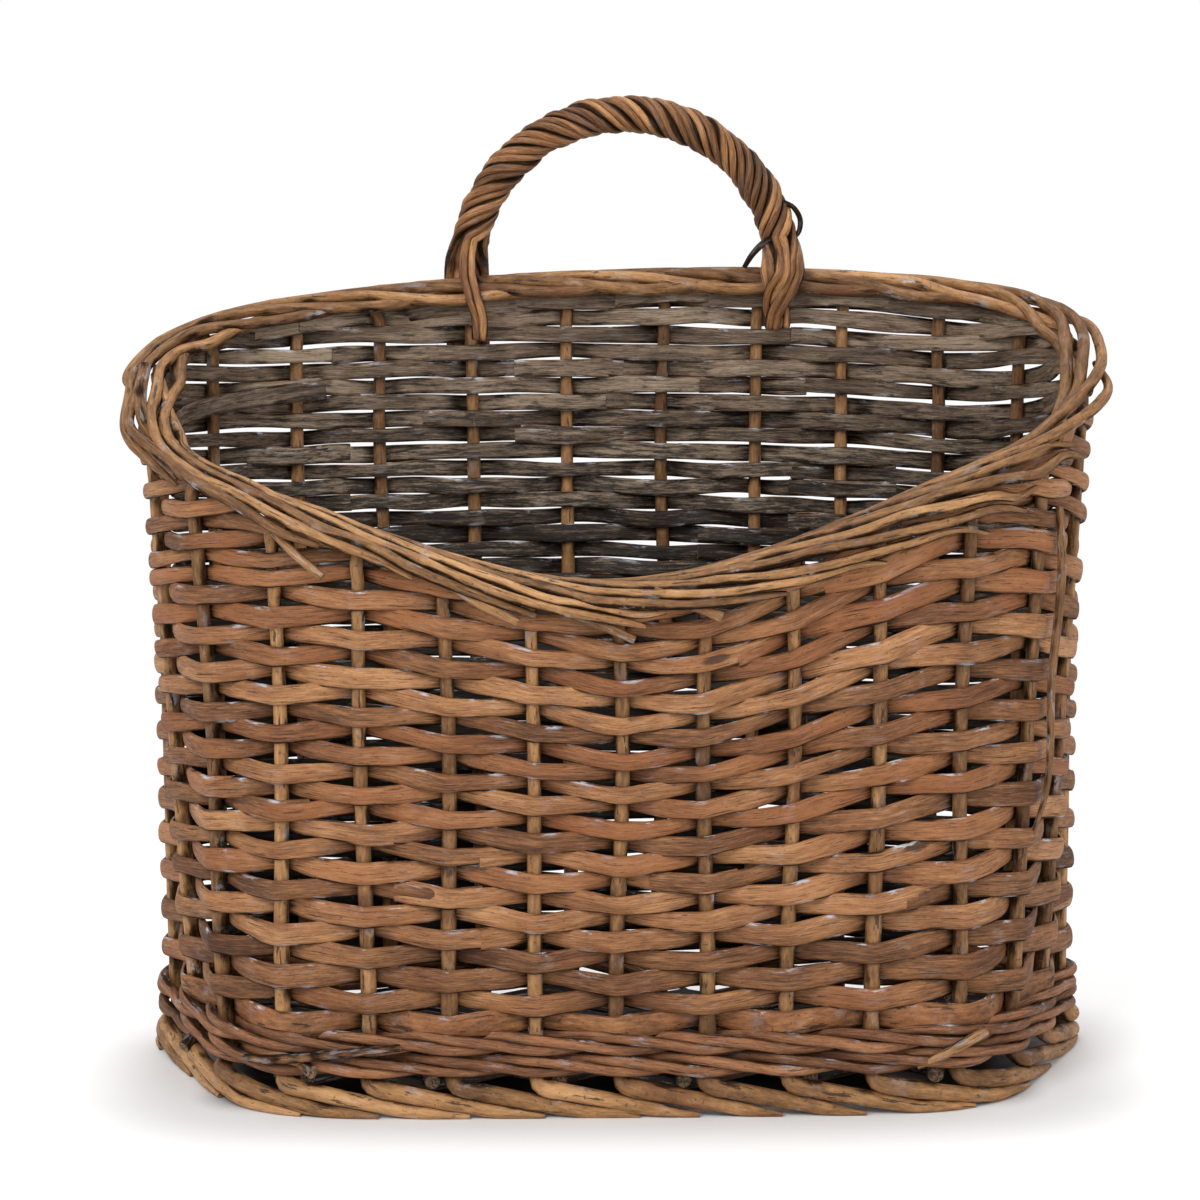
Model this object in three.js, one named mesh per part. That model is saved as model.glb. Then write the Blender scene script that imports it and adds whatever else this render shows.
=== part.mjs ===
// Hanging storage basket of woven willow, in millimetres.
// +Z is up, the back that hangs against a wall faces +Y, the low front faces -Y.
// The origin is under the middle of the whole basket, on the surface that it stands on.
import * as THREE from 'three';

// Plan of the wall, on the centre line of the stakes, at the foot and at the rim.
const FOOT_HALF_WIDTH_BACK = 197;
const FOOT_HALF_WIDTH_FRONT = 142;
const FOOT_BACK_Y = 70;
const FOOT_FRONT_Y = -57.5;
const FOOT_SQUARENESS_BACK = 4.8;
const FOOT_SQUARENESS_FRONT = 6.5;
const RIM_HALF_WIDTH_BACK = 181;
const RIM_HALF_WIDTH_FRONT = 185.5;
const RIM_BACK_Y = 78.5;
const RIM_FRONT_Y = -75.5;
const RIM_SQUARENESS_BACK = 3.1;
const RIM_SQUARENESS_FRONT = 2.4;

// Height of the rim, where each stake turns over, at four places round it. The right side
// stands higher than the left one by twice the tilt.
const RIM_HEIGHT_FRONT = 212.5;
const RIM_HEIGHT_SHOULDER = 251.5;
const RIM_HEIGHT_SIDE = 288.5;
const RIM_HEIGHT_BACK = 316.5;
const RIM_TILT = 5.3;

// The stakes: an odd number, so that one strip weaves in and out turn after turn. They stand
// wider apart at the back than at the front, half a spacing to each side of the middle there.
const STAKE_COUNT = 25;
const FIRST_STAKE_PLACE = 0.5;
const SPACING_SPREAD = 0.07;
const STAKE_BUTT_RADIUS = 3.2;
const STAKE_RIM_RADIUS = 2.45;
const STAKE_TIP_RADIUS = 2.15;
const STAKE_SIDES = 5;
const CLEARANCE = 0.3;

// Foot border: every stake turns out below the wale and runs down along the wall.
const KNUCKLE_HEIGHT = 11.6;
const FOOT_ROD_PITCH = 6.9;
const FOOT_RUN = 1.45;
const FOOT_LEVEL_RUN = 0.14;
const FOOT_TIP_RADIUS = 2.9;
const FOOT_OUTSET = 5;

// Rim border: every stake turns over and runs outside the next ones, round a quarter turn.
const RIM_ROD_PITCH = 5.3;
const RIM_ROLL_RADIUS = 13;
const RIM_RUN = 4.15;
const RIM_BEND = 7;

// Wale: three thin rods that pass outside two stakes and inside one.
const WALE_RADIUS = 1.9;
const WALE_PITCH = 4.5;
const WALE_HEIGHT = 18.4;
const WALE_ROD_COUNT = 3;
const WALE_ROUNDS = 2;

// Weave of split willow strips.
const STRIP_HEIGHT = 6;
const STRIP_THICKNESS = 3.2;
const STRIP_BARK_SHARE = 0.6;
const ROW_PITCH = 6.85;
const SIDE_STRIP_COUNT = 12;
const CLIMB_STAKES = 6;
const RIM_TO_ROW = 7.4;
const LOWER_ROWS = 23;
const UPPER_ROWS = 16;
const FRONT_LIP_END = 15;

// The lowest rows stand wider apart, and so do all lower rows over two stretches of the
// front: each has its middle and its reach, in stakes, and the share that it adds.
const WIDE_ROWS = 10;
const WIDE_ROWS_RISE = 8;
const LEFT_SPREAD_STAKE = 8.5;
const LEFT_SPREAD_REACH = 5.5;
const LEFT_SPREAD_SHARE = 0.12;
const RIGHT_SPREAD_STAKE = 16.4;
const RIGHT_SPREAD_REACH = 4.6;
const RIGHT_SPREAD_SHARE = 0.24;

// Base: sticks from front to back, set between the stakes, and one strip woven to and fro.
const BASE_STICK_COUNT = 6;
const BASE_STICK_STAKES = 1.5;
const BASE_STICK_RADIUS = 3.3;
const BASE_STRIP_WIDTH = 7.6;
const BASE_STRIP_THICKNESS = 3;
const BASE_ROW_PITCH = 8.2;
const BASE_EDGE_GAP = 5.5;

// Handle: a rope of four strands, bent to a half circle over the back rim.
const HANDLE_RADIUS = 65;
const HANDLE_X = 5;
const HANDLE_SEAT_HEIGHT = 3.5;
const STRAND_COUNT = 4;
const STRAND_RADIUS = 2.6;
const STRAND_SIDES = 5;
const STRAND_CIRCLE = 5.15;
const STRAND_SPREAD = 5.7;
const HANDLE_QUARTER_TURNS = 17;
const LEG_SPREAD_LENGTH = 15;
const LEG_DROP_INSIDE = 34;
const LEG_DROP_BEHIND = 42;
const LEG_TUCK_LENGTH = 9;
const HANDLE_STEPS_PER_QUARTER = 2;

const UP = new THREE.Vector3(0, 0, 1);
const basket = new THREE.Group();

const lerp = THREE.MathUtils.lerp;
const smoothstep = THREE.MathUtils.smoothstep;

function willow(colour, roughness) {
  return new THREE.MeshStandardMaterial({ color: colour, roughness, metalness: 0 });
}

const STAKE_COLOUR = 0xa57546;
const STRIP_COLOURS = [0x9a6638, 0x8d5c33, 0xa26d3d];
const WALE_COLOUR = 0x94653a;
const BASE_COLOUR = 0x7c6146;
const HANDLE_COLOUR = 0x9b6a39;

function addPiece(name, geometry, colour, roughness = 0.75) {
  const mesh = new THREE.Mesh(geometry, willow(colour, roughness));
  mesh.name = name;
  basket.add(mesh);
}

// Joins rings of points, each ring turning the same way round the path, into one closed skin.
function skinOfRings(rings) {
  const sides = rings[0].length;
  const positions = rings.flat().flatMap((point) => [point.x, point.y, point.z]);
  const faces = [];
  for (let ring = 0; ring < rings.length - 1; ring++) {
    for (let side = 0; side < sides; side++) {
      const a = ring * sides + side;
      const b = ring * sides + ((side + 1) % sides);
      faces.push(a, b, b + sides, a, b + sides, a + sides);
    }
  }
  const last = (rings.length - 1) * sides;
  for (let side = 1; side < sides - 1; side++) {
    faces.push(0, side + 1, side);
    faces.push(last, last + side, last + side + 1);
  }
  const geometry = new THREE.BufferGeometry();
  geometry.setAttribute('position', new THREE.Float32BufferAttribute(positions, 3));
  geometry.setIndex(faces);
  return geometry;
}

function directionAt(stations, index) {
  const before = stations[Math.max(index - 1, 0)].at;
  const after = stations[Math.min(index + 1, stations.length - 1)].at;
  return after.clone().sub(before).normalize();
}

// A round rod: every station has its place, an outward direction and a radius.
function rodGeometry(stations, sides) {
  const rings = stations.map((station, index) => {
    const along = directionAt(stations, index);
    const across = station.out.clone().cross(along).normalize();
    const out = along.clone().cross(across);
    const ring = [];
    for (let side = 0; side < sides; side++) {
      const angle = ((side + 0.5) / sides) * Math.PI * 2;
      ring.push(
        station.at
          .clone()
          .addScaledVector(across, station.radius * Math.cos(angle))
          .addScaledVector(out, station.radius * Math.sin(angle)),
      );
    }
    return ring;
  });
  return skinOfRings(rings);
}

// A split strip: flat on the pith side, narrower on the bark side. Every station has its
// place and the direction in which the strip stands.
function stripGeometry(stations, halfHeight, halfThickness) {
  const bark = halfHeight * STRIP_BARK_SHARE;
  const section = [
    [halfHeight, -halfThickness],
    [bark, halfThickness],
    [-bark, halfThickness],
    [-halfHeight, -halfThickness],
  ];
  const rings = stations.map((station, index) => {
    const along = directionAt(stations, index);
    const side = along.clone().cross(station.up).normalize();
    return section.map(([high, wide]) =>
      station.at.clone().addScaledVector(station.up, high).addScaledVector(side, wide),
    );
  });
  return skinOfRings(rings);
}

// A rounded plan outline that starts at the middle of the back and turns to the left.
function planOutline(halfBack, halfFront, backY, frontY, squareBack, squareFront) {
  const points = [];
  const pointCount = 96;
  for (let index = 0; index < pointCount; index++) {
    const angle = (index / pointCount) * Math.PI * 2;
    const across = -Math.sin(angle);
    const back = Math.cos(angle);
    const power = 2 / lerp(squareFront, squareBack, (1 + back) / 2);
    const share = (1 + Math.sign(back) * Math.abs(back) ** power) / 2;
    const halfWidth = lerp(halfFront, halfBack, share);
    const x = Math.sign(across) * Math.abs(across) ** power * halfWidth;
    points.push(new THREE.Vector3(x, lerp(frontY, backY, share), 0));
  }
  const curve = new THREE.CatmullRomCurve3(points, true);
  curve.arcLengthDivisions = 1200;
  return curve;
}

const footOutline = planOutline(
  FOOT_HALF_WIDTH_BACK,
  FOOT_HALF_WIDTH_FRONT,
  FOOT_BACK_Y,
  FOOT_FRONT_Y,
  FOOT_SQUARENESS_BACK,
  FOOT_SQUARENESS_FRONT,
);
const rimOutline = planOutline(
  RIM_HALF_WIDTH_BACK,
  RIM_HALF_WIDTH_FRONT,
  RIM_BACK_Y,
  RIM_FRONT_Y,
  RIM_SQUARENESS_BACK,
  RIM_SQUARENESS_FRONT,
);

const RIM_SPACING = rimOutline.getLength() / STAKE_COUNT;

const BACK_SPACING = RIM_SPACING * (1 + SPACING_SPREAD);

// How far round the plan a position is, from the middle of the back, as a share of a turn.
function turnAt(position) {
  const even = (position + FIRST_STAKE_PLACE) / STAKE_COUNT;
  const turns = even + (SPACING_SPREAD / (2 * Math.PI)) * Math.sin(2 * Math.PI * even);
  return turns - Math.floor(turns);
}

// The position in the wall of a place at the back that is x to the right of the middle.
function backPosition(x) {
  return -x / BACK_SPACING - FIRST_STAKE_PLACE;
}

// A smooth curve through the four named heights of the rim, level at the front and the back.
const rimProfile = new THREE.CubicInterpolant(
  [0, Math.PI / 4, Math.PI / 2, Math.PI],
  [RIM_HEIGHT_FRONT, RIM_HEIGHT_SHOULDER, RIM_HEIGHT_SIDE, RIM_HEIGHT_BACK],
  1,
);
rimProfile.settings = { endingStart: THREE.ZeroSlopeEnding, endingEnd: THREE.ZeroSlopeEnding };

function rimHeight(position) {
  const point = rimOutline.getPointAt(turnAt(position));
  const middleY = (RIM_BACK_Y + RIM_FRONT_Y) / 2;
  const halfWidth = (RIM_HALF_WIDTH_BACK + RIM_HALF_WIDTH_FRONT) / 2;
  const halfDepth = (RIM_BACK_Y - RIM_FRONT_Y) / 2;
  const angle = Math.atan2(point.x / halfWidth, (middleY - point.y) / halfDepth);
  return rimProfile.evaluate(Math.abs(angle))[0] + RIM_TILT * Math.sin(angle);
}

// A place on the wall: position counts stakes round the basket, the first of them just left
// of the middle of the back, and outset is measured straight out from the stakes' centre line.
function wallPoint(position, height, outset = 0) {
  const turn = turnAt(position);
  const share = height / rimHeight(position);
  const at = footOutline.getPointAt(turn).lerp(rimOutline.getPointAt(turn), share);
  at.z = height;
  return at.addScaledVector(wallOut(position, height), outset);
}

function wallOut(position, height) {
  const turn = turnAt(position);
  const share = height / rimHeight(position);
  const along = footOutline.getTangentAt(turn).lerp(rimOutline.getTangentAt(turn), share);
  return new THREE.Vector3(along.y, -along.x, 0).normalize();
}

// The lean of the wall: the direction in which a stake rises.
function wallUp(position, height) {
  return wallPoint(position, height + 1).sub(wallPoint(position, height)).normalize();
}

function wallStation(position, height, outset) {
  return { at: wallPoint(position, height, outset), up: wallUp(position, height) };
}

// How far a strand that crosses a stake must stand off for its legs, which lean back past the
// stake on their way to the next places, to keep clear of it.
function standOff(position, height, side, reach, step) {
  const out = wallOut(position, height).multiplyScalar(side);
  const here = wallPoint(position, height, side * reach);
  const leans = [-step, step].map((away) => {
    const leg = wallPoint(position + away, height, -side * 1.6 * reach).sub(here);
    const inward = -leg.dot(out);
    return Math.atan2(inward, Math.sqrt(leg.lengthSq() - inward ** 2));
  });
  return 1 / Math.cos(Math.max(0, ...leans));
}

function stakeRadius(position, height) {
  const share = (height - KNUCKLE_HEIGHT) / (rimHeight(position) - KNUCKLE_HEIGHT);
  return lerp(STAKE_BUTT_RADIUS, STAKE_RIM_RADIUS, THREE.MathUtils.clamp(share, 0, 1));
}

// The part of a stake in the foot border, from its tip back to its knuckle. The tip lies
// level, so that one facet of it rests on the ground.
function footStations(stake) {
  const groundHeight = FOOT_TIP_RADIUS * Math.cos(Math.PI / STAKE_SIDES);
  const stations = [0, 0.5, 1].map((share) => ({
    run: FOOT_RUN - FOOT_LEVEL_RUN * share,
    height: groundHeight,
    outset: FOOT_OUTSET,
    radius: share < 1 ? FOOT_TIP_RADIUS : FOOT_TIP_RADIUS - CLEARANCE / 2,
  }));
  for (const share of [0.65, 0.35, 0.1]) {
    const run = FOOT_RUN * share;
    const radius = lerp(STAKE_BUTT_RADIUS, FOOT_TIP_RADIUS, share);
    stations.push({ run, height: KNUCKLE_HEIGHT - FOOT_ROD_PITCH * run, outset: FOOT_OUTSET, radius });
  }
  for (const [rise, share] of [[0.3, 0.7], [1.1, 0.2], [2, 0]]) {
    stations.push({
      run: 0.2 * FOOT_LEVEL_RUN * share,
      height: KNUCKLE_HEIGHT + rise * STAKE_BUTT_RADIUS,
      outset: share * FOOT_OUTSET,
      radius: STAKE_BUTT_RADIUS,
    });
  }
  return stations.map(({ run, height, outset, radius }) => ({
    at: wallPoint(stake + run, height, outset),
    out: wallOut(stake + run, height),
    radius,
  }));
}

// The part of a stake in the rim border: each stake spacing takes it one rod round the roll.
function rimStations(stake) {
  const stations = [];
  const step = 2 * Math.asin(RIM_ROD_PITCH / (2 * RIM_ROLL_RADIUS));
  const bendShare = RIM_BEND / RIM_SPACING;
  const runs = [0.3 * bendShare, bendShare, 0.6, 1.1, 1.6, 2.1, 2.6, 3.1, 3.6, RIM_RUN];
  const drops = [0.3 * RIM_BEND, 0];
  stations.push({ position: stake, outset: 0, drop: RIM_BEND, radius: STAKE_RIM_RADIUS });
  runs.forEach((run, index) => {
    const angle = step * run;
    stations.push({
      position: stake + run,
      outset: RIM_ROLL_RADIUS * Math.sin(angle),
      drop: RIM_ROLL_RADIUS * (1 - Math.cos(angle)) + (drops[index] ?? 0),
      radius: lerp(STAKE_RIM_RADIUS, STAKE_TIP_RADIUS, run / RIM_RUN),
    });
  });
  return stations.map(({ position, outset, drop, radius }) => {
    const height = rimHeight(position) - drop;
    return { at: wallPoint(position, height, outset), out: wallOut(position, height), radius };
  });
}

function buildStakes() {
  for (let stake = 0; stake < STAKE_COUNT; stake++) {
    const stations = [...footStations(stake), ...rimStations(stake)];
    const name = `stake_${String(stake + 1).padStart(2, '0')}`;
    addPiece(name, rodGeometry(stations, STAKE_SIDES), STAKE_COLOUR, 0.7);
  }
}

// The wale: out, out, in, and each rod dips under the next one as it goes inside.
function buildWale() {
  const levels = [
    { side: 1, at: 1, after: 0.5, sideAfter: 1 },
    { side: 1, at: 0, after: 0, sideAfter: 0 },
    { side: -1, at: 0.5, after: 1, sideAfter: 0 },
  ];
  const lastStake = WALE_ROUNDS * STAKE_COUNT - 1;
  for (let rod = 0; rod < WALE_ROD_COUNT; rod++) {
    const stations = [];
    const addStation = (position, level, side) => {
      const round = THREE.MathUtils.clamp(position - STAKE_COUNT + 1, 0, 1);
      const height = WALE_HEIGHT + WALE_PITCH * (level + 2 * round);
      const clear = stakeRadius(position, height) + CLEARANCE + WALE_RADIUS;
      const offset = clear * standOff(position, height, Math.sign(side), clear / 2, 0.5);
      stations.push({
        at: wallPoint(position, height, side * offset),
        out: wallOut(position, height),
        radius: WALE_RADIUS,
      });
    };
    for (let stake = 0; stake < lastStake; stake++) {
      const phase = levels[(stake + rod) % WALE_ROD_COUNT];
      addStation(stake, phase.at, phase.side);
      addStation(stake + 0.5, phase.after, phase.sideAfter);
    }
    addPiece(`wale_rod_${rod + 1}`, rodGeometry(stations, 4), WALE_COLOUR);
  }
}

const FIRST_ROW_HEIGHT =
  WALE_HEIGHT + WALE_PITCH * (2 * WALE_ROUNDS - 1) + WALE_RADIUS + CLEARANCE + STRIP_HEIGHT / 2;

function weaveOffset(stake, height, side) {
  const clear = stakeRadius(stake, height) + CLEARANCE;
  const half = STRIP_THICKNESS / 2;
  return clear * standOff(stake, height, side, clear + half, 1) + half;
}

// 1 at the middle of a stretch of the wall, falling smoothly to 0 at its two ends.
function swell(position, middle, reach) {
  const turns = (position - middle) / STAKE_COUNT;
  const away = Math.abs(turns - Math.round(turns)) * STAKE_COUNT;
  return away < reach ? (1 + Math.cos((Math.PI * away) / reach)) / 2 : 0;
}

// Height of a row at a position. The row is a fraction where a strip climbs to the next one.
function rowHeight(row, position) {
  const narrowing = THREE.MathUtils.clamp(1 - row / WIDE_ROWS, 0, 1);
  const wideRise = WIDE_ROWS_RISE * (1 - narrowing ** 2);
  const spread =
    LEFT_SPREAD_SHARE * swell(position, LEFT_SPREAD_STAKE, LEFT_SPREAD_REACH) +
    RIGHT_SPREAD_SHARE * swell(position, RIGHT_SPREAD_STAKE, RIGHT_SPREAD_REACH);
  const lowerRise = ROW_PITCH * Math.min(row, LOWER_ROWS - 1) + wideRise;
  return FIRST_ROW_HEIGHT + ROW_PITCH * row + wideRise + spread * lowerRise;
}

// The lower weave climbs one row a turn, over the last stakes before the middle of the back.
function lowerRowHeight(position) {
  const turn = Math.floor(position / STAKE_COUNT);
  const stake = position - turn * STAKE_COUNT;
  const climb = Math.max(0, (stake - STAKE_COUNT + CLIMB_STAKES) / CLIMB_STAKES);
  return rowHeight(Math.min(turn + climb, LOWER_ROWS - 1), position);
}

function buildLowerWeave() {
  const wholeLength = (LOWER_ROWS - 1) * STAKE_COUNT + FRONT_LIP_END;
  const stripLength = Math.floor(wholeLength / SIDE_STRIP_COUNT);
  const tail = 0.42;
  for (let strip = 1; strip <= SIDE_STRIP_COUNT; strip++) {
    const start = (strip - 1) * stripLength;
    const end = strip < SIDE_STRIP_COUNT ? start + stripLength - 1 : wholeLength;
    const places = [];
    const addPlace = (position, side) => {
      const height = lowerRowHeight(position);
      places.push(wallStation(position, height, side * weaveOffset(position, height, side)));
    };
    for (let stake = start; stake <= end; stake++) addPlace(stake, stake % 2 === 0 ? 1 : -1);
    const lastSide = end % 2 === 0 ? 1 : -1;
    addPlace(end + tail, lastSide * (1 - 2 * tail));
    const name = `side_weaver_${String(strip).padStart(2, '0')}`;
    addPiece(
      name,
      stripGeometry(places, STRIP_HEIGHT / 2, STRIP_THICKNESS / 2),
      STRIP_COLOURS[strip % STRIP_COLOURS.length],
    );
  }
}

// The upper rows pass round the back only; right of the back they start one row lower.
function upperRowHeight(row, stake) {
  const left = LOWER_ROWS + row;
  const right = LOWER_ROWS - 1 + (row * UPPER_ROWS) / (UPPER_ROWS - 1);
  const share = THREE.MathUtils.clamp((stake + CLIMB_STAKES) / CLIMB_STAKES, 0, 1);
  return rowHeight(lerp(right, left, share), stake);
}

function lastStakeUnderRim(row, direction) {
  let stake = 0;
  const fits = (next) =>
    upperRowHeight(row, next) + STRIP_HEIGHT / 2 + RIM_TO_ROW <= rimHeight(next);
  while (Math.abs(stake) < STAKE_COUNT / 2 - 1 && fits(stake + direction)) stake += direction;
  return stake;
}

// Each upper strip goes to the right, turns round the last stake there and comes back.
function buildUpperWeave() {
  const lipLimit = FRONT_LIP_END + 1 - STAKE_COUNT;
  for (let row = 0; row < UPPER_ROWS; row += 2) {
    const left = lastStakeUnderRim(row + 1, 1);
    const right = Math.max(lastStakeUnderRim(row + 1, -1), lipLimit);
    const places = [];
    const addPlace = (whichRow, stake, side) => {
      const height = upperRowHeight(whichRow, stake);
      places.push(wallStation(stake, height, side * weaveOffset(stake, height, side)));
    };
    const sideOf = (whichRow, stake) => ((whichRow + stake) % 2 === 0 ? 1 : -1);
    addPlace(row, left + 0.3, 0.4 * sideOf(row, left));
    for (let stake = left; stake >= right; stake--) addPlace(row, stake, sideOf(row, stake));
    for (const share of [0.25, 0.5, 0.75]) {
      const angle = share * Math.PI;
      const height = upperRowHeight(row + share, right);
      const turnRadius = 1.1 * weaveOffset(right, height, -1);
      const position = right - (turnRadius * Math.sin(angle)) / RIM_SPACING;
      const outset = turnRadius * Math.cos(angle) * sideOf(row, right);
      places.push(wallStation(position, height, outset));
    }
    for (let stake = right; stake <= left; stake++) {
      addPlace(row + 1, stake, sideOf(row + 1, stake));
    }
    addPlace(row + 1, left + 0.3, 0.4 * sideOf(row + 1, left));
    places.reverse();
    const strip = row / 2 + 1;
    addPiece(
      `back_weaver_${strip}`,
      stripGeometry(places, STRIP_HEIGHT / 2, STRIP_THICKNESS / 2),
      STRIP_COLOURS[(strip + 1) % STRIP_COLOURS.length],
    );
  }
}

const BASE_HEIGHT = WALE_HEIGHT - WALE_RADIUS - CLEARANCE - BASE_STICK_RADIUS;

// Where a stick meets the wall at the back and at the front.
function stickPositions(stick) {
  const fromMiddle = (stick - (BASE_STICK_COUNT - 1) / 2) * BASE_STICK_STAKES;
  return [fromMiddle, STAKE_COUNT / 2 - fromMiddle].map((place) => place - FIRST_STAKE_PLACE);
}

// Each stick ends against the inside of the foot border, between two stakes.
function buildBaseSticks() {
  const outset = FOOT_OUTSET - STAKE_BUTT_RADIUS - 4 * CLEARANCE;
  for (let stick = 0; stick < BASE_STICK_COUNT; stick++) {
    const stations = stickPositions(stick).map((position) => ({
      at: wallPoint(position, BASE_HEIGHT, outset),
      out: UP,
      radius: BASE_STICK_RADIUS,
    }));
    addPiece(`base_stick_${stick + 1}`, rodGeometry(stations, 6), BASE_COLOUR, 0.8);
  }
}

// How far the clear inside of the wall reaches to the left or right at a given Y.
function baseReach(y, towards, inset) {
  const steps = 20 * STAKE_COUNT;
  let reach = 0;
  let before = wallPoint(0, BASE_HEIGHT, -inset);
  for (let step = 1; step <= steps; step++) {
    const after = wallPoint((step / steps) * STAKE_COUNT, BASE_HEIGHT, -inset);
    const share = (y - before.y) / (after.y - before.y);
    if (share >= 0 && share <= 1) {
      reach = Math.max(reach, towards * lerp(before.x, after.x, share));
    }
    before = after;
  }
  return towards * reach;
}

function stickX(stick, y) {
  const [from, to] = stickPositions(stick).map((position) => wallPoint(position, BASE_HEIGHT));
  return lerp(from.x, to.x, (y - from.y) / (to.y - from.y));
}

// Where a row turns: short of the wall, and short of the last stick unless it can pass it.
function baseRowEnd(y, towards, inset) {
  const turnRoom = (BASE_STRIP_WIDTH + BASE_ROW_PITCH) / 2;
  const edges = [y - BASE_ROW_PITCH - BASE_STRIP_WIDTH / 2, y + BASE_STRIP_WIDTH / 2];
  const reaches = edges.map((edge) => Math.abs(baseReach(edge, towards, inset)));
  const wallEnd = Math.min(...reaches.filter((reach) => reach > 0)) - turnRoom;
  const lastStick = towards < 0 ? BASE_STICK_COUNT - 1 : 0;
  const stickAt = Math.abs(stickX(lastStick, y - BASE_ROW_PITCH));
  const stickEdge = BASE_STICK_RADIUS + CLEARANCE;
  if (wallEnd > stickAt + stickEdge + turnRoom) return towards * wallEnd;
  return towards * Math.min(wallEnd, stickAt - stickEdge - turnRoom);
}

// The base strip passes over and under the sticks and turns flat at the end of each row.
function buildBaseWeave() {
  const inset = 3 * WALE_RADIUS + STAKE_BUTT_RADIUS + 3 * CLEARANCE;
  const halfWidth = BASE_STRIP_WIDTH / 2;
  const standOffHeight = BASE_STICK_RADIUS + 1.2 * CLEARANCE + BASE_STRIP_THICKNESS / 2;
  const backEnd = wallPoint(0, BASE_HEIGHT, -inset).y - halfWidth - BASE_EDGE_GAP;
  const frontEnd = wallPoint(STAKE_COUNT / 2, BASE_HEIGHT, -inset).y + halfWidth;
  const rowCount = Math.floor((backEnd - frontEnd) / BASE_ROW_PITCH) + 1;
  const stations = [];
  const addStation = (x, y, height, along) => {
    stations.push({ at: new THREE.Vector3(x, y, BASE_HEIGHT + height), up: UP.clone().cross(along) });
  };
  const turn = new THREE.Vector3(0, -1, 0);
  for (let row = 0; row < rowCount; row++) {
    const y = backEnd - row * BASE_ROW_PITCH;
    const towards = row % 2 === 0 ? 1 : -1;
    const along = new THREE.Vector3(towards, 0, 0);
    const rowEnd = baseRowEnd(y, towards, inset);
    for (let index = 0; index < BASE_STICK_COUNT; index++) {
      const stick = towards < 0 ? index : BASE_STICK_COUNT - 1 - index;
      const side = (stick + row) % 2 === 0 ? 1 : -1;
      const rowStart = row === 0 ? -rowEnd : baseRowEnd(y + BASE_ROW_PITCH, -towards, inset);
      const x = stickX(stick, y);
      const passed = towards * x < towards * rowEnd && towards * x > towards * rowStart;
      if (passed) addStation(x, y, side * standOffHeight, along);
    }
    addStation(rowEnd, y, 0, along);
    if (row < rowCount - 1) {
      addStation(rowEnd + towards * (BASE_ROW_PITCH / 2), y - BASE_ROW_PITCH / 2, 0, turn);
      addStation(rowEnd, y - BASE_ROW_PITCH, 0, along.clone().negate());
    }
  }
  addPiece(
    'base_weaver',
    stripGeometry(stations, halfWidth, BASE_STRIP_THICKNESS / 2),
    BASE_COLOUR,
    0.85,
  );
}

// What the handle takes from the wall under it: how high its arch starts, how far its strands
// stand off inside the weave, behind the border and against the weave below the border.
function handleSeat() {
  const legPosition = backPosition(HANDLE_X - HANDLE_RADIUS);
  const rimTop = rimHeight(legPosition);
  const nearStake = Math.round(legPosition);
  const strandSeat = STRIP_THICKNESS / 2 + CLEARANCE + STRAND_RADIUS;
  const inside = weaveOffset(nearStake, rimTop, -1) + strandSeat;
  const behind = RIM_ROLL_RADIUS + STAKE_TIP_RADIUS + 2 * CLEARANCE + STRAND_RADIUS;
  return {
    inside,
    behind,
    tucked: weaveOffset(nearStake, rimTop, 1) + strandSeat,
    archHeight: rimTop + HANDLE_SEAT_HEIGHT,
    archY: wallPoint(legPosition, rimTop).y + (behind - inside) / 2,
  };
}

// The part of a strand below the arch, from its end upwards: down the inside of the weave, or
// down behind the border and in against the weave below it.
function handleLeg(seat, x, isInside) {
  const underBorder = HANDLE_SEAT_HEIGHT + RIM_ROLL_RADIUS + STAKE_TIP_RADIUS + STRAND_RADIUS;
  const inside = [
    [LEG_DROP_INSIDE, -seat.inside],
    [0, -seat.inside],
  ];
  const behind = [
    [LEG_DROP_BEHIND, seat.tucked],
    [underBorder + LEG_TUCK_LENGTH, seat.tucked],
    [underBorder, seat.behind - CLEARANCE],
    [underBorder - LEG_TUCK_LENGTH, seat.behind],
    [0, seat.behind],
  ];
  return (isInside ? inside : behind).map(([drop, outset]) =>
    wallPoint(backPosition(x), seat.archHeight - drop, outset),
  );
}

// A place in the rope, a given length along the half circle and an angle round its middle.
function ropePoint(seat, length, angle) {
  const bend = Math.PI - length / HANDLE_RADIUS;
  const outward = new THREE.Vector3(Math.cos(bend), 0, Math.sin(bend));
  const reach = HANDLE_RADIUS + STRAND_CIRCLE * Math.sin(angle);
  const y = seat.archY + STRAND_CIRCLE * Math.cos(angle);
  return new THREE.Vector3(HANDLE_X, y, seat.archHeight).addScaledVector(outward, reach);
}

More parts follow.
